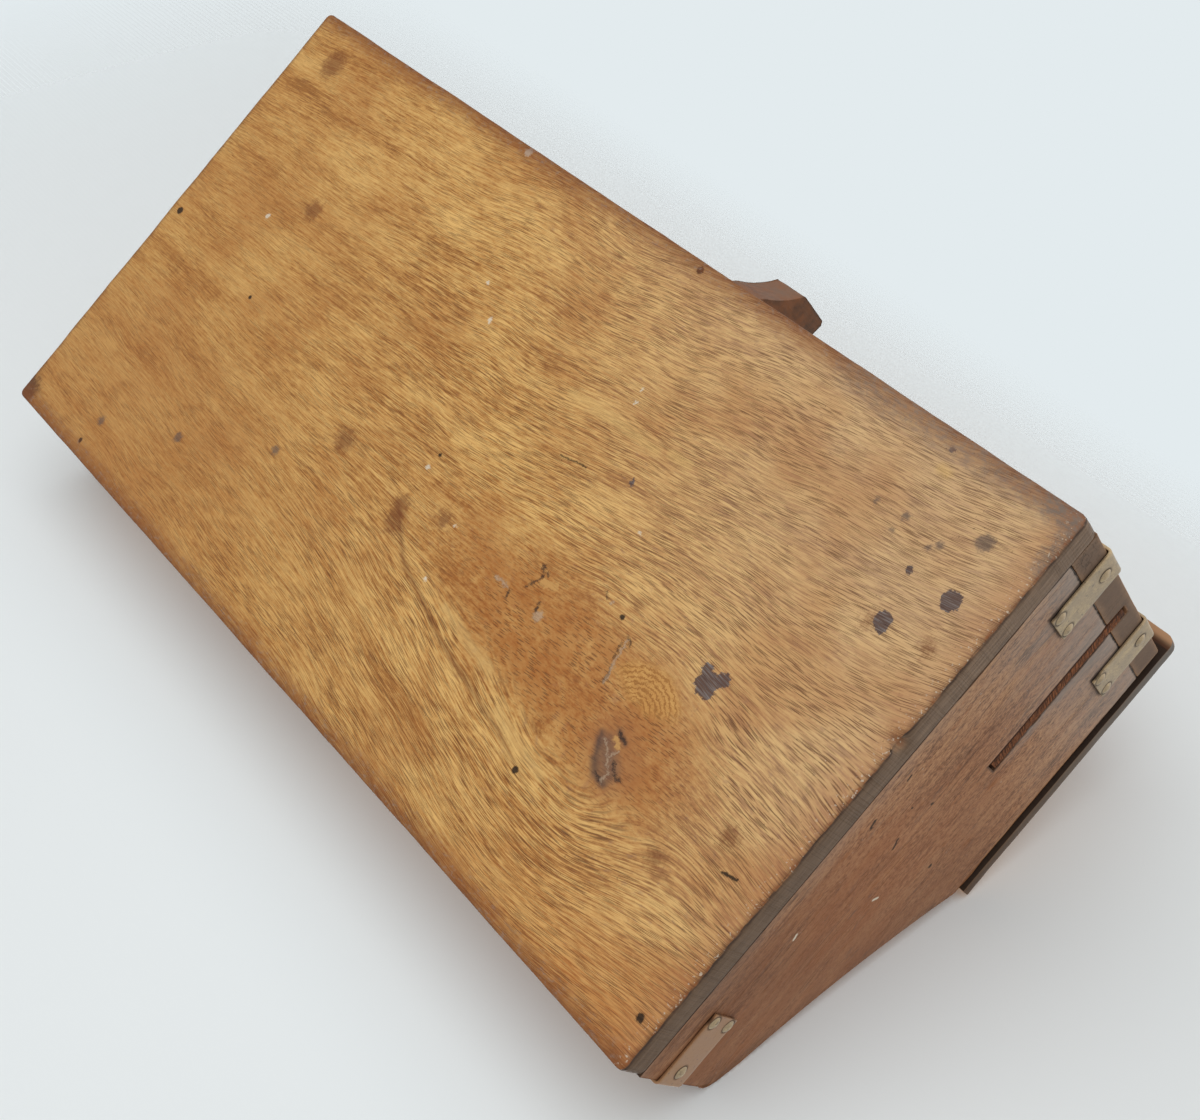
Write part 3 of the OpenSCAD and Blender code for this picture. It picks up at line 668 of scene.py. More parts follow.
    # Side faces are sawn end grain or dull long grain, with a line of dirt along the joint.
    side = (1 - abs(f.facing()[2])).span(0.35, 0.8) * (z + ragged).span(0.9, 1.4)
    sawn = f.noise(x / 3, y / 9, z / 0.9, 4)
    f.lay(side * 0.94,
          f.shades(sawn, (0.3, linear((0.37, 0.30, 0.24))), (0.7, linear((0.53, 0.44, 0.36)))))
    f.tint(side * y.span(50, -10) * 0.45, 0.33, 0.25, 0.18)
    # A painted shadow line darkens the side faces just above their lower edge.
    f.tint(side * z.span(2.0, 1.0) * 0.85, 0.20, 0.12, 0.08)
    f.lay(z.span(BASE_HIGH.z - 0.7, BASE_HIGH.z - 0.1) * 0.8, grime)
    f.tint(crumbs.span(0.30, 0.25) * 0.5, 0.27, 0.17, 0.12)
    rough = 0.56 + fibre * 0.15 + pore * 0.15 - rubbed * 0.1
    height = fibre * 0.25 + streak * 0.15 - pore * 0.55 - (knot + hole) * 1.3 + fleck * 0.8 \
        - eye * 0.6
    return f.done(rough, height, 0.55, 0.35, Specular_IOR_Level=0.16)


def board_wood(name, colours, grain, low, high, red=0.35, grey=0.3, reach=1.0, speckle=0.0):
    """Dull waxed board, grain along x or y, sawn end grain, worn edges, grime in its joints."""
    light, mid, dark, reddish = (linear(c) for c in (colours.board_light, colours.board_mid,
                                                     colours.board_dark, colours.board_red))
    f = Finish(name)
    along, across = (f.x, f.y) if grain == "x" else (f.y, f.x)
    seed = low[0] * 0.37 + low[2] * 0.11
    wander = (f.noise(along / 80 + seed, across / 50, f.z / 50, 2) - 0.5) * 7
    side, up = across + wander, f.z + wander
    band = f.noise(along / (110 * reach), side / 8 + seed, up / 8, 3)
    streak = f.noise(along / (24 * reach), side / 1.7, up / 1.7 + seed, 4, 0.62)
    fibre = f.noise(along / (8 * reach), side / 0.5, up / 0.5, 3, 0.7)
    pore = f.noise(along / 5, side / 0.45, up / 0.45 + 5.0, 2).span(0.6, 0.7)
    tone = band * 0.42 + streak * 0.42 + fibre * 0.25
    if speckle:
        tone = tone + (f.noise(along / 1.3, side / 0.7, up / 0.7, 3, 0.7) - 0.5) * speckle
    f.base = f.shades(tone, (0.38, dark), (0.52, mid), (0.68, light))
    f.lay(f.blotch(38, seed, 3).span(0.38, 0.68) * red, reddish)
    f.tint(f.blotch(55, seed + 4, 3).span(0.45, 0.7) * grey, 0.52, 0.44, 0.36)
    f.lay(pore * 0.5, darker(dark, 0.45))
    # End grain: rows of dark pits instead of streaks.
    normal = f.facing()[0 if grain == "x" else 1]
    end = abs(normal).span(0.6, 0.9)
    pits = f.noise(f.x / 0.8, f.y / 0.8, f.z / 0.8, 3, 0.6)
    rows = f.noise(across / 9, f.z / 1.3, along / 9, 3)
    sawn = f.shades(pits * 0.5 + rows * 0.5, (0.3, dark), (0.62, darker(mid, 0.68)),
                    (0.85, darker(light, 0.62)))
    f.lay(end, f.mix(0.4, sawn, linear((0.46, 0.42, 0.38))))
    cracks = f.noise(along / 45, side / 2.6, up / 2.6 + 3.3, 2, 0.4)
    crack = (1 - abs(cracks - 0.5) * 34).most(0) * f.blotch(30, 6.0).span(0.5, 0.62)
    f.lay(crack * 0.75, linear(colours.grime))
    dust = f.blotch(1.3, 13.0, 1).span(0.76, 0.8)
    f.tint(dust * 0.6, 0.70, 0.66, 0.60)
    rubbed = f.edges(low, high, 2.4, 1.4)
    f.lay(rubbed * 0.4, darker(light, 0.95))
    # Later layers and the ending of the material use these.
    f.end = end
    f.rough = 0.58 + fibre * 0.16 + pore * 0.12 + end * 0.12 - rubbed * 0.08
    f.height = fibre * 0.22 + streak * 0.2 - pore * 0.4 - crack * 1.2
    return f


def finish_board(f):
    """Ends a material that board_wood began."""
    return f.done(f.rough, f.height, 0.45, 0.3, Specular_IOR_Level=0.12)


# Marks on the end panels: y, z, radius, or y, z, y, z, half width.
PANEL_FLECKS = [(-18.9, 54.7, -17.7, 56.4, 0.2), (-35.2, 28.6, -36.6, 29.2, 0.3)]
PANEL_DARKS = [(-1.6, 19.3, -3.6, 20.4, 0.3), (-2.3, 39.6, -4.9, 41.4, 0.25), (9.8, 41.9, 0.35),
               (-3.4, 71.9, 0.6), (12.0, 18.4, 10.6, 18.6, 0.25), (6.0, 33.0, 0.25)]


def panel_wood(colours):
    """End panels: grey-brown near the back and the base, orange-brown toward the slope."""
    f = board_wood("panel wood", colours, "y", END_LOW, END_HIGH, 0.25, 0.2, 0.45, 0.9)
    red, grime = linear(colours.board_red), linear(colours.grime)
    toward_front = f.y.span(70, -40) * f.z.span(4, 34, 0.5, 1.0)
    uneven = f.noise(f.y / 34, f.z / 8, f.x / 30, 3).span(0.25, 0.7, 0.5, 1.0)
    f.lay(toward_front * uneven * 0.75, red)
    patches = f.noise(f.y / 10, f.z / 3.5, f.x / 10, 4, 0.65)
    f.tint(patches.span(0.58, 0.72) * 0.5, 0.36, 0.30, 0.27)
    f.tint(patches.span(0.42, 0.3) * 0.5, 0.60, 0.37, 0.20)
    dull = f.y.span(20, 84).most(f.z.span(22, 9) * 0.3)
    f.lay(dull * f.noise(f.y / 22, f.z / 7, 4.0, 3).span(0.3, 0.6, 0.3, 1) * 0.75,
          f.shades(patches, (0.35, linear((0.66, 0.59, 0.54))), (0.6, linear((0.52, 0.49, 0.46)))))
    f.tint(f.y.span(40, 84) * patches.span(0.25, 0.5, 0.3, 1) * 0.35, 0.62, 0.59, 0.56)
    f.tint(f.z.span(52, 92) * f.y.span(34, -4) * 0.35, 0.34, 0.22, 0.15)
    f.tint(f.y.span(4, -56) * f.noise(f.y / 20, f.z / 6, 9.0, 3).span(0.25, 0.6, 0.5, 1) * 0.42,
           0.37, 0.24, 0.17)
    slope_shade = (f.z - FOOT_Z - (f.y + HALF_Y) * 0.74).span(-12, 0) * f.y.span(-2, -12)
    f.tint(slope_shade * f.noise(f.y / 9, f.z / 3, 8.0, 3).span(0.35, 0.6) * 0.5, 0.27, 0.19, 0.13)
    f.lay(f.z.span(BASE_HIGH.z + 0.8, BASE_HIGH.z + 0.1) * 0.8, grime)
    # Dirt and painted shade darken the face round the shelf's slot.
    slot = (f.z - SLOT_LOW.z).least(SLOT_HIGH.z - f.z).least(f.y - SLOT_LOW.y)
    slot_dirt_and_shade = (slot + f.blotch(3, 1.0) * 0.8).span(-0.5, 0.3)
    f.lay(slot_dirt_and_shade * f.y.span(20, 24) * 0.75, grime)
    # A pale painted highlight, as of light on a chamfer, along the slot's upper rim.
    above = f.z - SLOT_HIGH.z + f.blotch(4, 3.0, 4) * 4
    painted_rim_highlight = above.span(1.5, 3) * above.span(9, 3) * f.y.span(24, 40)
    f.tint(painted_rim_highlight * patches.span(0.35, 0.6, 0.2, 0.75), 0.55, 0.50, 0.46)
    sway = f.noise(f.y / 2, f.z / 2, 0.0, 3) - 0.5
    at = f.place(f.y + sway * 1.4, f.z + sway)
    # Dark bands along the straps' edges are painted shadow that the straps cast on the panel.
    wide = STRAP_HIGH.z - STRAP_LOW.z
    for low_z in (STRAP_LOW.z, corners("strap_back_upper_left")[0].z):
        strap = (f.z - low_z + 1.3).least(low_z + wide + 0.5 - f.z)
        strap = strap.least(f.y - STRAP_LOW.y + 0.5) + sway * 1.2
        f.lay(strap.span(-0.3, 0.7) * 0.7, grime)
    left = f.x.span(10, -10)
    marks = f.reach(at, PANEL_DARKS).span(0.5, -0.1) * left
    cracks = (END_HIGH.y - f.y + sway * 1.2).span(0.7, 0.1)
    f.lay(marks.most(cracks) * 0.9, darker(grime, 0.6))
    f.tint(f.reach(at, PANEL_FLECKS).span(0.4, 0) * left, 0.82, 0.78, 0.70)
    return finish_board(f)


def plain_board(name, colours, low, high, **settings):
    """Board wood along x with dirt along the base and greyer ends."""
    f = board_wood(name, colours, "x", low, high, **settings)
    f.lay(f.z.span(BASE_HIGH.z + 1.2, BASE_HIGH.z) * 0.8, linear(colours.grime))
    f.tint(f.end * 0.45, 0.40, 0.34, 0.29)
    return finish_board(f)


def lid_wood(name, colours, low, high):
    """A lid's board: dull end, and an underside darkened with grime and painted shade, dark
    red-brown, near black where it lies over the box.
    """
    f = board_wood(name, colours, "x", low, high, red=0.3, grey=0.35)
    # The underside is dark red-brown, grime and painted shade together; its back corner is pale
    # worn wood.
    under = (-f.facing()[2]).span(0.5, 0.9)
    raw = f.shades(f.noise(f.x / 20, f.y / 1.6, f.z, 4), (0.35, linear((0.17, 0.10, 0.07))),
                   (0.7, linear((0.36, 0.22, 0.14))))
    raw = f.mix(f.y.span(84.5, 87) * 0.8, raw, linear((0.72, 0.56, 0.42)))
    # Near black over the box, where the lid meets it: painted shade.
    inward = (BACK_HIGH.x + 1.4 - abs(f.x)).least(BACK_HIGH.y + 1.2 - f.y)
    raw = f.mix(inward.span(-1.2, 0.2) * 0.95, raw, darker(linear(colours.grime), 0.35))
    f.lay(under * 0.95, raw)
    dull = abs(f.facing()[0]).span(0.5, 0.9)
    f.lay(dull * 0.8, f.shades(
        f.y / 90 + f.blotch(6, 2.0, 3) * 0.3, (0.1, linear((0.29, 0.22, 0.17))),
        (0.65, linear((0.38, 0.34, 0.30))), (1.0, linear((0.42, 0.41, 0.39)))))
    return finish_board(f)


def inner_wood(name, colours, low, high):
    """Unpolished wood inside the box, with ink spots and rubbed edges."""
    mid, dark = linear(colours.inner_mid), linear(colours.inner_dark)
    f = Finish(name)
    wander = (f.noise(f.x / 70, f.y / 40, f.z / 40, 2) - 0.5) * 6
    streak = f.noise(f.x / 22, (f.y + wander) / 1.8, (f.z + wander) / 1.8, 4, 0.6)
    fibre = f.noise(f.x / 7, f.y / 0.5, f.z / 0.5, 3, 0.7)
    f.base = f.shades(streak * 0.7 + fibre * 0.35, (0.36, dark), (0.6, mid),
                      (0.8, darker(mid, 1.3)))
    ink = f.blotch(5, 21.0, 3).span(0.70, 0.74)
    f.tint(ink * 0.5, 0.16, 0.15, 0.19)
    rubbed = f.edges(low, high, 1.8, 1.0)
    f.lay(rubbed * 0.45, darker(mid, 1.45))
    return f.done(0.62 + fibre * 0.2, fibre * 0.3 + streak * 0.3, 0.4, 0.3)


def shelf_wood(colours):
    """Sawn red-brown shelf whose ends show saw ridges across them."""
    mid = linear(colours.shelf_mid)
    f = Finish("shelf wood")
    streak = f.noise(f.x / 20, f.y / 1.6, f.z / 1.6, 4, 0.6)
    flat = f.shades(streak, (0.35, darker(mid, 0.5)), (0.7, darker(mid, 1.2)))
    ridge = f.noise((f.y + f.z * 0.2) / 0.5, f.z / 5, 3.0, 3).span(0.3, 0.7)
    pits = f.noise(f.y / 0.7, f.z / 0.7, 1.0, 3)
    tone = ridge * 0.45 + pits * 0.6
    end = f.shades(tone, (0.3, darker(mid, 0.45)), (0.52, mid), (0.72, darker(mid, 1.9)))
    on_end = abs(f.facing()[0]).span(0.5, 0.8)
    f.base = f.mix(on_end, flat, end)
    # Dark along the shelf end's lower edge, where the slot's gap lies, is painted shade; the end
    # also darkens toward the back of the slot.
    f.lay(f.z.span(SHELF_LOW.z + 0.6, SHELF_LOW.z) * on_end * 0.7, linear(colours.grime))
    back = f.y.span(SLOT_HIGH.y - 2.2, SLOT_HIGH.y - 3.4, 1, 0)
    foot = f.z.span(SHELF_LOW.z + 1.0, SHELF_LOW.z + 0.2)
    f.lay(back.most(foot) * on_end * 0.6, linear(colours.grime))
    return f.done(0.7 + pits * 0.15, ridge * on_end + pits * 0.3, 0.6, 0.5,
                  Specular_IOR_Level=0.1)


def carved_wood(colours):
    """Dark carved lid rest, olive on its sides, with tool marks and a worn lip."""
    mid, dark = linear(colours.carved_mid), linear(colours.carved_dark)
    f = Finish("carved wood")
    streak = f.noise(f.x / 1.7, f.y / 1.7, f.z / 18, 4, 0.6)
    fibre = f.noise(f.x / 0.6, f.y / 0.6, f.z / 6, 3, 0.7)
    f.base = f.shades(streak * 0.7 + fibre * 0.3, (0.34, dark), (0.56, mid),
                      (0.8, darker(mid, 1.7)))
    nx, _, nz = f.facing()
    patch = f.blotch(7, 3.0, 3)
    f.lay(abs(nx).span(0.6, 0.9) * 0.7,
          f.shades(patch, (0.35, linear((0.32, 0.23, 0.15))), (0.6, linear((0.52, 0.33, 0.18)))))
    under = (-nz).span(0.1, 0.7)
    f.lay(under * 0.85,
          f.shades(patch, (0.35, linear((0.50, 0.38, 0.30))), (0.65, linear((0.54, 0.36, 0.24)))))
    f.tint(under * (f.z + patch * 6).span(REST_LOW.z + 14, REST_LOW.z + 6) * 0.6, 0.28, 0.17, 0.12)
    rubbed = f.edges(REST_LOW, REST_HIGH, 1.6, 1.0)
    f.tint(rubbed * 0.6, 0.25, 0.19, 0.15)
    grime = f.y.span(REST_LOW.y + 2.2, REST_LOW.y)
    f.lay(grime * 0.8, linear(colours.grime))
    cuts = f.noise(f.x / 6, f.y / 3, f.z / 3, 1)
    return f.done(0.5 + fibre * 0.2, cuts * 0.6 + streak * 0.3, 0.5, 0.5, Specular_IOR_Level=0.2)


# The front straps are warmer than the others.
WARM_BRASS = (0.60, 0.41, 0.26)


def brass(name, colours, pins=(), tint=None):
    """Tarnished brass in patches, with dirt round the pins."""
    bright, dull, grime = (linear(c) for c in (colours.brass_bright, colours.brass_dull,
                                               colours.grime))
    f = Finish(name)
    patch = f.blotch(6, 3.0, 4)
    fine = f.blotch(0.6, 1.0, 3)
    f.base = f.shades(patch * 0.6 + fine * 0.4, (0.3, darker(dull, 0.72)), (0.5, dull),
                      (0.72, darker(bright, 0.9)))
    if tint:
        f.tint(0.75, *tint)
    dark = f.blotch(1.6, 9.0, 3).span(0.62, 0.7)
    f.lay(dark * 0.5, grime)
    rough = 0.36 + patch * 0.25
    shadow = None
    for x, y, z in pins:
        reach_x, reach_y, reach_z = abs(f.x) - x, abs(f.y) - y, f.z - z
        reach = (reach_x * reach_x + reach_y * reach_y + reach_z * reach_z).math("SQRT")
        ring = reach.span(2.9, 2.0)
        shadow = ring if shadow is None else shadow.most(ring)
    if shadow is not None:
        f.lay(shadow * 0.8, grime)
        rough = rough + shadow * 0.25
    metallic = 0.55 - dark * 0.35
    return f.done(rough, patch * 0.6 + fine * 0.4, 0.35, 0.25, metallic)


def iron_nails(colours):
    """Old iron, dark with patches of rust."""
    f = Finish("old iron")
    patch = f.blotch(1.4, 2.0, 4)
    f.base = f.shades(patch, (0.35, linear(colours.iron)), (0.7, linear((0.34, 0.21, 0.14))))
    return f.done(0.6 + patch * 0.2, patch, 0.5, 0.2, 0.6)


# The table leaves out a place behind the box. These are its middle, half size and soft rim, and
# the two places in y between which the table fades out toward it, all in millimetres.
BEHIND_MIDDLE, BEHIND_HALF, BEHIND_RIM = (50, 10, 60), (172, 92, 400), 22
BEHIND_FADE = (170, 85)
# Width in millimetres over which the table and the floor fade out round the box.
TABLE_FADE = 420
# Metres from the middle of the box to each lamp, and the light that comes from all round.
LAMP_DISTANCE, SKY_STRENGTH = 1.1, 0.62


def soft_table(name, colours, facing, brightness, centre, reach, opened):
    """Pale stage surface that is seen from its face only and fades out round the box.

    It takes light as if it faced one way everywhere. An opened surface leaves out a place.
    """
    f = Finish(name)
    pale = darker(linear(colours.table), brightness)
    across = [(abs(at - mid) - half).most(0)
              for at, mid, half in zip((f.x, f.y, f.z), centre, reach)]
    away = (across[0] * across[0] + across[1] * across[1] + across[2] * across[2]).math("SQRT")
    seen = away.span(TABLE_FADE, 0)
    if opened:
        inside = [half - abs(at - mid)
                  for at, mid, half in zip((f.x, f.y, f.z), BEHIND_MIDDLE, BEHIND_HALF)]
        seen = seen * f.y.span(*BEHIND_FADE)
        seen = seen * inside[0].least(inside[1]).least(inside[2]).span(BEHIND_RIM, 0)
    back = Value(f, f.node("ShaderNodeNewGeometry", {}, (), "Backfacing"))
    diffuse = f.node("ShaderNodeBsdfDiffuse", {}, {"Color": pale, "Normal": f.place(*facing)})
    clear = f.node("ShaderNodeBsdfTransparent", {}, {})
    shader = f.node("ShaderNodeMixShader", {}, (seen * (1 - back), clear, diffuse))
    f.node("ShaderNodeOutputMaterial", {}, (shader,))
    return f.material


# ---- operators ---------------------------------------------------------------------------------


def settings(context):
    return context.scene.letter_box_sizes, context.scene.letter_box_colours


class LETTERBOX_OT_base(bpy.types.Operator):
    """Make the base board with rounded arrises and a ragged left end"""
    bl_idname = "letter_box.base"
    bl_label = "Base board"
    bl_options = {"REGISTER", "UNDO"}

    def execute(self, context):
        sizes, colours = settings(context)
        low, high = BASE_LOW, BASE_HIGH
        piece = block("base_plank", low, high)
        ease(piece, sizes.base_corner, lambda a, b: abs(a.z - b.z) > 1)
        ease(piece, sizes.base_arris, lambda a, b: a.z < HAIR and b.z < HAIR)
        ease(piece, 0.3 * MM, lambda a, b: a.z > high.z - HAIR and b.z > high.z - HAIR, 1)
        score(piece, 0, [low.x + d for d in (0.25, 0.6, 1.0, 1.5, 2.1, 2.8, 3.6, 4.6, 6, 8)]
              + steps(low.x + 8, high.x, 4))
        score(piece, 1, steps(low.y, high.y, 1.1))
        score(piece, 2, [1.2, 2.4, 5.0])
        wear(piece, "waves", 0.16 * MM, 60)
        wear(piece, "long edges", sizes.edge_wear, 14,
             lambda at: edge_nearness(low, high, 2.6)(at) * ramp(at.z, 5, 2), 3)
        wear(piece, "ragged end", sizes.ragged_end, 1.9,
             lambda at: ramp(at.x, low.x + 1.2, low.x + 0.2) * ramp(at.z, 1.9, 0.5), 3)
        wear(piece, "notch", 3.2 * MM, 3, lambda at: ramp(math.hypot(at.x - low.x, at.y - 16), 3, 1)
             * ramp(at.z, 4, 1.5), 1)
        dress(piece, "carcass", "base_board", base_wood(colours))
        return {"FINISHED"}


class LETTERBOX_OT_end_panels(bpy.types.Operator):
    """Make the two end panels with their slope, hollow and shelf slot"""
    bl_idname = "letter_box.end_panels"
    bl_label = "End panels"
    bl_options = {"REGISTER", "UNDO"}

    def execute(self, context):
        sizes, colours = settings(context)
        low, high = END_LOW, END_HIGH
        piece = block("left_end_panel", low, high)
        slice_off(piece, (0, *on_slope(0, 0)), (0, -math.sin(SLOPE), math.cos(SLOPE)))
        nose = NOSE_RADIUS * math.tan((math.pi / 2 - SLOPE) / 2)
        ease(piece, nose * MM, lambda a, b: max(abs(a.y + HALF_Y), abs(b.y + HALF_Y)) < 0.05
             and min(a.z, b.z) > FOOT_Z - 1, 6)
        start = NOSE_RADIUS + 3
        half = (SLOPE_LENGTH - start) / 2
        radius = (half * half + SLOPE_SAG * SLOPE_SAG) / (2 * SLOPE_SAG)
        middle = on_slope(start + half, radius - SLOPE_SAG)
        carve(piece, rod("hollow", (low.x - 5, *middle), (high.x + 5, *middle), radius, 256))
        carve(piece, block("slot", (low.x - 1, SLOT_LOW.y, SLOT_LOW.z),
                           (high.x + 1, SLOT_HIGH.y, SLOT_HIGH.z)))
        outer = low.x + HAIR

        def slot(p):
            return SLOT_LOW.y - 0.1 < p.y and SLOT_LOW.z - 0.1 < p.z < SLOT_HIGH.z + 0.1

        ease(piece, 0.25 * MM, lambda a, b: max(a.x, b.x) < outer and slot(a) and slot(b), 2)
        ease(piece, sizes.board_arris, lambda a, b: max(a.x, b.x) < outer + 0.3
             and not (slot(a) or slot(b)))
        score(piece, 1, steps(low.y, high.y, 2.5))
        score(piece, 2, steps(low.z, high.z, 3))
        wear(piece, "waves", 0.14 * MM, 40)
        wear(piece, "edges", sizes.edge_wear * 0.8, 9,
             lambda at: edge_nearness(low, high, 2)(at) * ramp(at.x, low.x + 4, low.x + 1), 3)
        finish = panel_wood(colours)
        mirror = turned_copy(piece, "right_end_panel")
        dress(piece, "carcass", "end_panel_left", finish)
        dress(mirror, "carcass", "end_panel_right", finish)
        return {"FINISHED"}


class LETTERBOX_OT_long_boards(bpy.types.Operator):
    """Make the back board, the front board and the cross rail"""
    bl_idname = "letter_box.long_boards"
    bl_label = "Long boards"
    bl_options = {"REGISTER", "UNDO"}

    def execute(self, context):
        sizes, colours = settings(context)
        low, high = BACK_LOW, BACK_HIGH
        back = block("back_plank", low, high)
        carve(back, block("groove", (low.x - 1, low.y - 1, SLOT_LOW.z),
                          (high.x + 1, SLOT_HIGH.y, SLOT_HIGH.z)))
        ease(back, sizes.board_arris, lambda a, b: min(a.y, b.y) > high.y - HAIR)
        ease(back, 0.3 * MM, lambda a, b: min(abs(a.x), abs(b.x)) > high.x - 0.5, 1)
        score(back, 0, steps(low.x, high.x, 5))
        score(back, 2, steps(low.z, high.z, 3))
        wear(back, "waves", 0.14 * MM, 50)
        wear(back, "edges", sizes.edge_wear * 0.8, 10, edge_nearness(low, high, 2), 3)
        dress(back, "carcass", "back_board",
              plain_board("back wood", colours, low, high))
        front = eased_copy("front_board", "front_plank", 0.5)
        dress(front, "carcass", "front_board",
              plain_board("front wood", colours, FRONT_LOW, FRONT_HIGH, red=0.5))
        rail = eased_copy("cross_rail", "top_rail", 0.4)
        dress(rail, "carcass", "cross_rail",
              plain_board("rail wood", colours, *corners("cross_rail")))
        return {"FINISHED"}


class LETTERBOX_OT_fittings(bpy.types.Operator):
    """Make the shelf, the till front and the letter dividers"""
    bl_idname = "letter_box.fittings"
    bl_label = "Inner fittings"
    bl_options = {"REGISTER", "UNDO"}

    def execute(self, context):
        colours = context.scene.letter_box_colours
        shelf = eased_copy("shelf", "sawn_shelf", 0.25)
        dress(shelf, "carcass", "shelf", shelf_wood(colours))
        for node, name in (("till_front", "till_board"),
                           ("letter_divider_front", "front_divider"),
                           ("letter_divider_rear", "rear_divider")):
            low, high = corners(node)
            board = eased_copy(node, name, 0.8)
            dress(board, "carcass", node,
                  inner_wood(name + " wood", colours, low, high))
        return {"FINISHED"}


class LETTERBOX_OT_lid_rest(bpy.types.Operator):
    """Make the carved rest on the back that the open lid lies on"""
    bl_idname = "letter_box.lid_rest"
    bl_label = "Lid rest"
    bl_options = {"REGISTER", "UNDO"}

    def execute(self, context):
        sizes, colours = settings(context)
        rest = eased_copy("lid_rest", "carved_rest", 0.1, 1)
        foot = REST_LOW.z
        # Below each of these heights the rest is thinned further.
        with editing(rest, "VERT"):
            for height, back in ((25, 1.0), (12, 1.4), (1, 2.6)):
                bpy.ops.mesh.select_all(action="DESELECT")
                pick(rest, "verts", lambda vertex: vertex.co.z / MM < foot + height
                     and vertex.co.y / MM > REST_LOW.y + 4)
                bpy.ops.transform.translate(value=(0, -back * MM, 0))
        ease(rest, sizes.rest_arris)
        score(rest, 0, steps(REST_LOW.x, REST_HIGH.x, 1.6))
        score(rest, 2, steps(REST_LOW.z, REST_HIGH.z, 1.8))
        wear(rest, "tool marks", 0.45 * MM, 6,
             lambda at: ramp(at.y, REST_LOW.y + 1, REST_LOW.y + 4), 2)
        dress(rest, "carcass", "lid_rest", carved_wood(colours))
        return {"FINISHED"}


class LETTERBOX_OT_lids(bpy.types.Operator):
    """Make the flat lid and the slope lid"""
    bl_idname = "letter_box.lids"
    bl_label = "Lids"
    bl_options = {"REGISTER", "UNDO"}

    def execute(self, context):
        sizes, colours = settings(context)
        low, high = TOP_LOW, TOP_HIGH
        lid = block("flat_lid", low, high)
        ease(lid, sizes.lid_corner, lambda a, b: min(a.y, b.y) > high.y - HAIR
             and abs(a.z - b.z) > 1, 5)
        ease(lid, sizes.board_arris * 1.4, lambda a, b: min(a.z, b.z) > high.z - HAIR)
        ease(lid, sizes.board_arris * 0.6, lambda a, b: max(a.z, b.z) < low.z + HAIR, 2)
        score(lid, 0, steps(low.x, high.x, 5))
        score(lid, 1, steps(low.y, high.y, 3))
        wear(lid, "waves", 0.12 * MM, 60)
        wear(lid, "edges", sizes.edge_wear, 9, edge_nearness(low, high, 2.2), 3)
        dress(lid, "flat_lid", "top_lid",
              lid_wood("flat lid wood", colours, low, high))
        slope = eased_copy("slope_lid", "sloped_lid", 0.7, 3)
        dress(slope, "slope_lid_body", "slope_lid",
              lid_wood("slope lid wood", colours, *corners("slope_lid")))
        return {"FINISHED"}


class LETTERBOX_OT_straps(bpy.types.Operator):
    """Make the six brass straps, bent round the corners"""
    bl_idname = "letter_box.straps"
    bl_label = "Corner straps"
    bl_options = {"REGISTER", "UNDO"}

    def execute(self, context):
        sizes, colours = settings(context)
        wide, leg = STRAP_HIGH.z - STRAP_LOW.z, HALF_Y - STRAP_LOW.y
        # Two pins near the end of each leg, this far in from its edges, and one near the bend.
        inset = 2.3
        pins = [(HALF_X, HALF_Y - leg + inset, inset),
                (HALF_X, HALF_Y - leg + inset, wide - inset),
                (HALF_X, HALF_Y - 4.1, wide / 2),
                (HALF_X - leg + inset, HALF_Y, inset),
                (HALF_X - leg + inset, HALF_Y, wide - inset),
                (HALF_X - 8, HALF_Y, wide / 2)]
        for kind in ("back_lower", "back_upper", "front"):
            node = "strap_" + kind + "_left"
            low, high = corners(node)
            strap = self.bent_strip(node, low, high, sizes)
            finish = brass(kind.replace("_", " ") + " brass", colours,
                           [(x, y, low.z + z) for x, y, z in pins],
                           WARM_BRASS if kind == "front" else None)
            mirror = turned_copy(strap, kind + "_strap_right")
            strap.name = strap.data.name = kind + "_strap_left"
            dress(strap, "carcass", node, finish)
            dress(mirror, "carcass", "strap_" + kind + "_right", finish)
        return {"FINISHED"}

    def bent_strip(self, name, low, high, sizes):
        """One strip: the leg on the end panel, a bend, and the leg on the long side."""
        turn = 1 if high.y > 0 else -1
        thick = -HALF_X - low.x
        bend = thick * 1.5
        corner = turn * (HALF_Y + thick - bend)
        free = low.y if turn > 0 else high.y
        ends = sorted((free, corner))
        strap = block(name, (low.x, ends[0], low.z), (-HALF_X, ends[1], high.z))
        pivot = Vector((low.x + bend, corner, (low.z + high.z) / 2)) * MM
        with editing(strap, "FACE"):
            pick(strap, "faces", lambda face: face.normal.y * turn > 0.9)
            bpy.ops.mesh.spin(steps=6, angle=math.radians(90) * turn, center=pivot, axis=(0, 0, 1))
            bpy.ops.mesh.extrude_region_move(TRANSFORM_OT_translate={
                "value": ((high.x - low.x - bend) * MM, 0, 0)})
            bpy.ops.mesh.select_all(action="SELECT")
            bpy.ops.mesh.remove_doubles(threshold=HAIR * MM)
            bpy.ops.mesh.normals_make_consistent(inside=False)
        ease(strap, sizes.strap_bevel, lambda a, b: abs(a.z - b.z) < HAIR
             or abs(a.z - b.z) > 5 and (abs(a.y - free) < HAIR or a.x > high.x - HAIR), 2)
        score(strap, 2, steps(low.z, high.z, 1.7))
        score(strap, 1, steps(ends[0], ends[1], 1.8))
        score(strap, 0, steps(low.x + bend, high.x, 1.8))
        wear(strap, "dents", 0.16 * MM, 5, None, 3)
        # The free ends stand a little off the wood.
        with editing(strap, "VERT"):
            for reach, share in ((3.8, 0.3), (2, 0.5)):
                for near, way in (
                        (lambda place: abs(place.y - free) < reach, (-share, 0, 0)),
                        (lambda place: high.x - place.x < reach, (0, share * turn, 0))):
                    bpy.ops.mesh.select_all(action="DESELECT")
                    pick(strap, "verts", lambda vertex: near(vertex.co / MM))
                    bpy.ops.transform.translate(value=Vector(way) * sizes.strap_lift)
        return strap


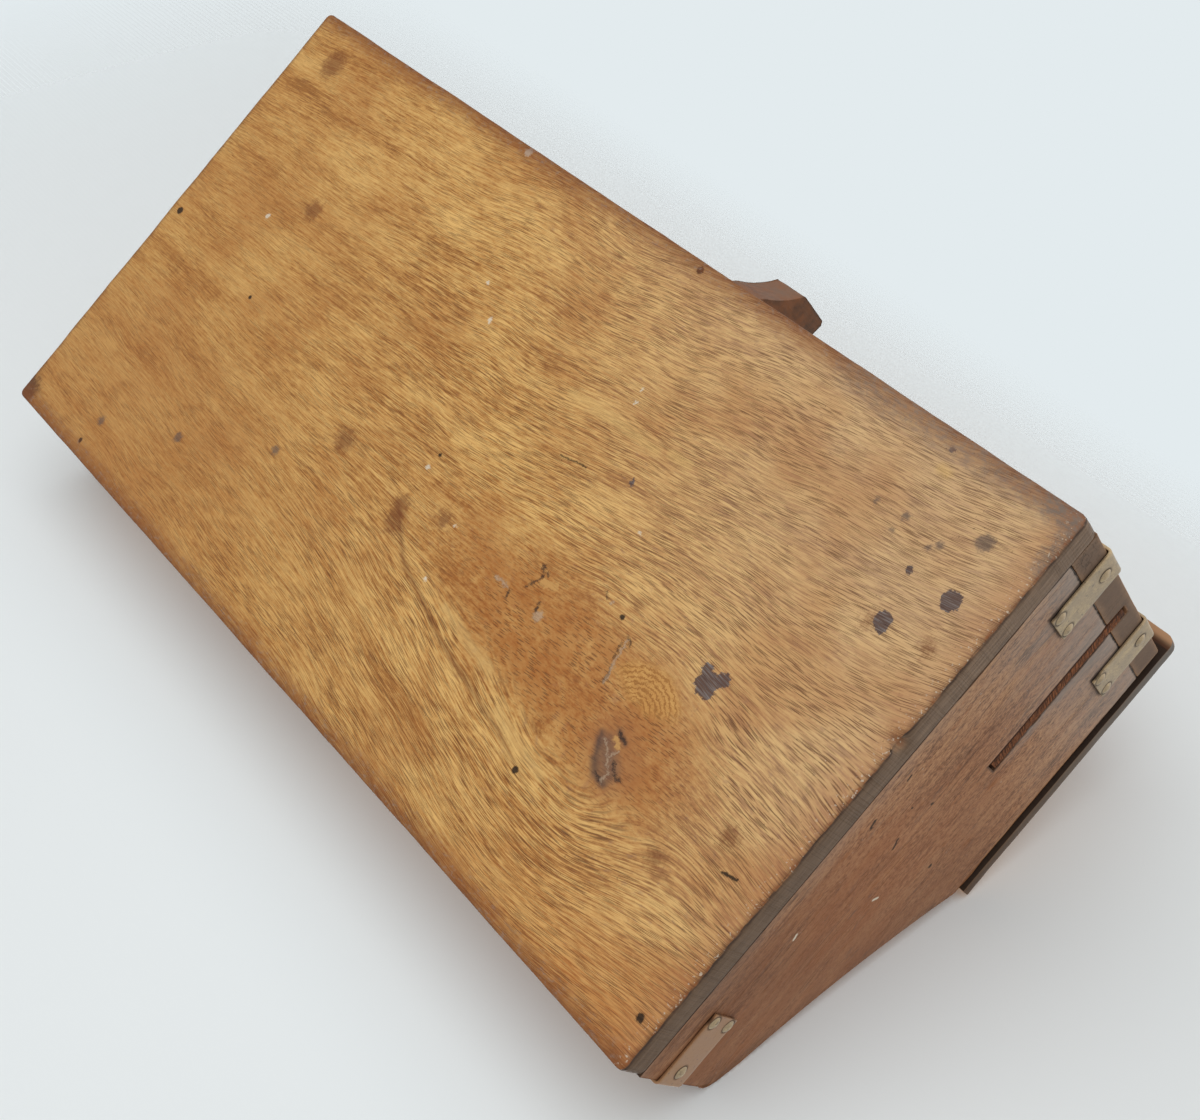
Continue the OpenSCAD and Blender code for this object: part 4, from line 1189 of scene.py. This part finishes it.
class LETTERBOX_OT_metalwork(bpy.types.Operator):
    """Give the hinges, pins, screws and nails their metal"""
    bl_idname = "letter_box.metalwork"
    bl_label = "Metalwork"
    bl_options = {"REGISTER", "UNDO"}

    def execute(self, context):
        colours = context.scene.letter_box_colours
        coat("strap_pins", brass("pin brass", colours))
        hinge = brass("hinge brass", colours)
        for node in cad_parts:
            if "hinge" in node:
                coat(node, hinge)
        iron = iron_nails(colours)
        coat("base_nails", iron)
        coat("lid_rest_nails", iron)
        return {"FINISHED"}


class LETTERBOX_OT_stage(bpy.types.Operator):
    """Set the camera, the pale table and floor, and soft lamps"""
    bl_idname = "letter_box.stage"
    bl_label = "Stage"
    bl_options = {"REGISTER", "UNDO"}

    def execute(self, context):
        colours = context.scene.letter_box_colours
        self.camera()
        self.surfaces(colours)
        self.light(colours)
        context.scene.view_settings.view_transform = "Standard"
        return {"FINISHED"}

    def camera(self):
        """A camera below the box, to its left."""
        data = bpy.data.cameras.new("camera")
        data.sensor_width, data.lens, data.clip_start = 36, 48.26, 0.01
        camera = bpy.data.objects.new("camera", data)
        bpy.context.scene.collection.objects.link(camera)
        right = Vector((-0.63074, 0.63957, 0.43945))
        up = Vector((0.54562, 0.76820, -0.33492))
        back = Vector((-0.55179, 0.02853, -0.83349))
        turn = Matrix((right, up, back)).transposed().to_4x4()
        camera.matrix_world = Matrix.Translation((-0.29387, 0.01495, -0.34627)) @ turn
        bpy.context.scene.camera = camera

    def surfaces(self, colours):
        """The floor that the box stands on, and the table that it lies on, front down.

        The table is a stair of narrow level treads that face down, so that it is seen from
        below only and never stands in front of an open lid.
        """
        climb = (TOP_HIGH.z - FOOT_Z) / (TOP_LOW.y + HALF_Y)
        # How deep a tread is, how far apart they are, how many, and where in y they start.
        deep, pitch, count, first_y = 6, 2, 315, -460
        bpy.ops.mesh.primitive_plane_add(size=1)
        floor = made("floor", (4, 4, 1))
        floor.data.materials.append(soft_table(
            "floor surface", colours, (0, 0, 1), 1, (0, 0, 0), (150, 80, 100), False))
        start = Vector((0, first_y - deep / 2, FOOT_Z + (first_y + HALF_Y) * climb)) * MM
        bpy.ops.mesh.primitive_plane_add(size=1, location=start, rotation=(math.pi, 0, 0))
        table = made("table", (3, deep * MM, 1))
        use_modifier(table, "ARRAY", count=count, use_relative_offset=False,
                     use_constant_offset=True,
                     constant_offset_displace=(0, pitch * MM, pitch * climb * MM))
        table.data.materials.append(soft_table(
            "table surface", colours, Vector((0, climb, -1)).normalized(), 1.1,
            (0, -10, 60), (160, 90, 80), True))
        for surface in (floor, table):
            surface.visible_shadow = surface.visible_diffuse = False
            surface.visible_glossy = surface.visible_transmission = False

    def light(self, colours):
        """An even sky behind the surfaces, one lamp under the box and two over it."""
        world = bpy.data.worlds.new("studio")
        bpy.context.scene.world = world
        sky = Nodes(world)
        seen = 0
        for ray in ("Is Camera Ray", "Is Glossy Ray", "Is Transmission Ray"):
            seen = sky.node("ShaderNodeMath", {"operation": "MAXIMUM"},
                            (seen, sky.node("ShaderNodeLightPath", {}, (), ray)))
        fill = sky.node("ShaderNodeBackground", {}, ((1, 1, 1), SKY_STRENGTH))
        pale = sky.node("ShaderNodeBackground", {}, (linear(colours.backdrop), 1))
        sky.node("ShaderNodeOutputWorld", {}, (sky.node("ShaderNodeMixShader", {},
                                                        (seen, fill, pale)),))
        middle = Vector((0, 0, 0.055))
        for name, way, power, size in (("table key", (-0.08, 0.38, -0.9), 5.6, 1.3),
                                       ("floor key", (0.35, -0.6, 0.8), 4.6, 0.9),
                                       ("floor fill", (-0.6, 0.7, 0.5), 2.0, 1.0)):
            lamp = bpy.data.lights.new(name, "AREA")
            lamp.energy, lamp.size, lamp.shape = power, size, "DISK"
            light = bpy.data.objects.new(name, lamp)
            bpy.context.scene.collection.objects.link(light)
            light.location = middle + Vector(way).normalized() * LAMP_DISTANCE
            light.rotation_euler = (middle - light.location).to_track_quat("-Z", "Y").to_euler()


class LETTERBOX_PT_panel(bpy.types.Panel):
    """Lists the tools that dress the letter box"""
    bl_label = "Letter box"
    bl_idname = "LETTERBOX_PT_panel"
    bl_space_type = "VIEW_3D"
    bl_region_type = "UI"
    bl_category = "Letter box"

    def draw(self, context):
        for tool in TOOLS:
            self.layout.operator(tool.bl_idname)
        for group in (context.scene.letter_box_sizes, context.scene.letter_box_colours):
            column = self.layout.column()
            for key in group.__annotations__:
                column.prop(group, key)


TOOLS = (LETTERBOX_OT_base, LETTERBOX_OT_end_panels, LETTERBOX_OT_long_boards,
         LETTERBOX_OT_fittings, LETTERBOX_OT_lid_rest, LETTERBOX_OT_lids, LETTERBOX_OT_straps,
         LETTERBOX_OT_metalwork, LETTERBOX_OT_stage)
CLASSES = (LetterBoxSizes, LetterBoxColours, *TOOLS, LETTERBOX_PT_panel)


def register():
    for item in CLASSES:
        bpy.utils.register_class(item)
    bpy.types.Scene.letter_box_sizes = PointerProperty(type=LetterBoxSizes)
    bpy.types.Scene.letter_box_colours = PointerProperty(type=LetterBoxColours)


def unregister():
    del bpy.types.Scene.letter_box_colours
    del bpy.types.Scene.letter_box_sizes
    for item in reversed(CLASSES):
        bpy.utils.unregister_class(item)


def main():
    register()
    bpy.ops.letter_box.base()
    bpy.ops.letter_box.end_panels()
    bpy.ops.letter_box.long_boards()
    bpy.ops.letter_box.fittings()
    bpy.ops.letter_box.lid_rest()
    bpy.ops.letter_box.lids()
    bpy.ops.letter_box.straps()
    bpy.ops.letter_box.metalwork()
    bpy.ops.letter_box.stage()
    bpy.context.view_layer.update()


if __name__ == "__main__":
    main()
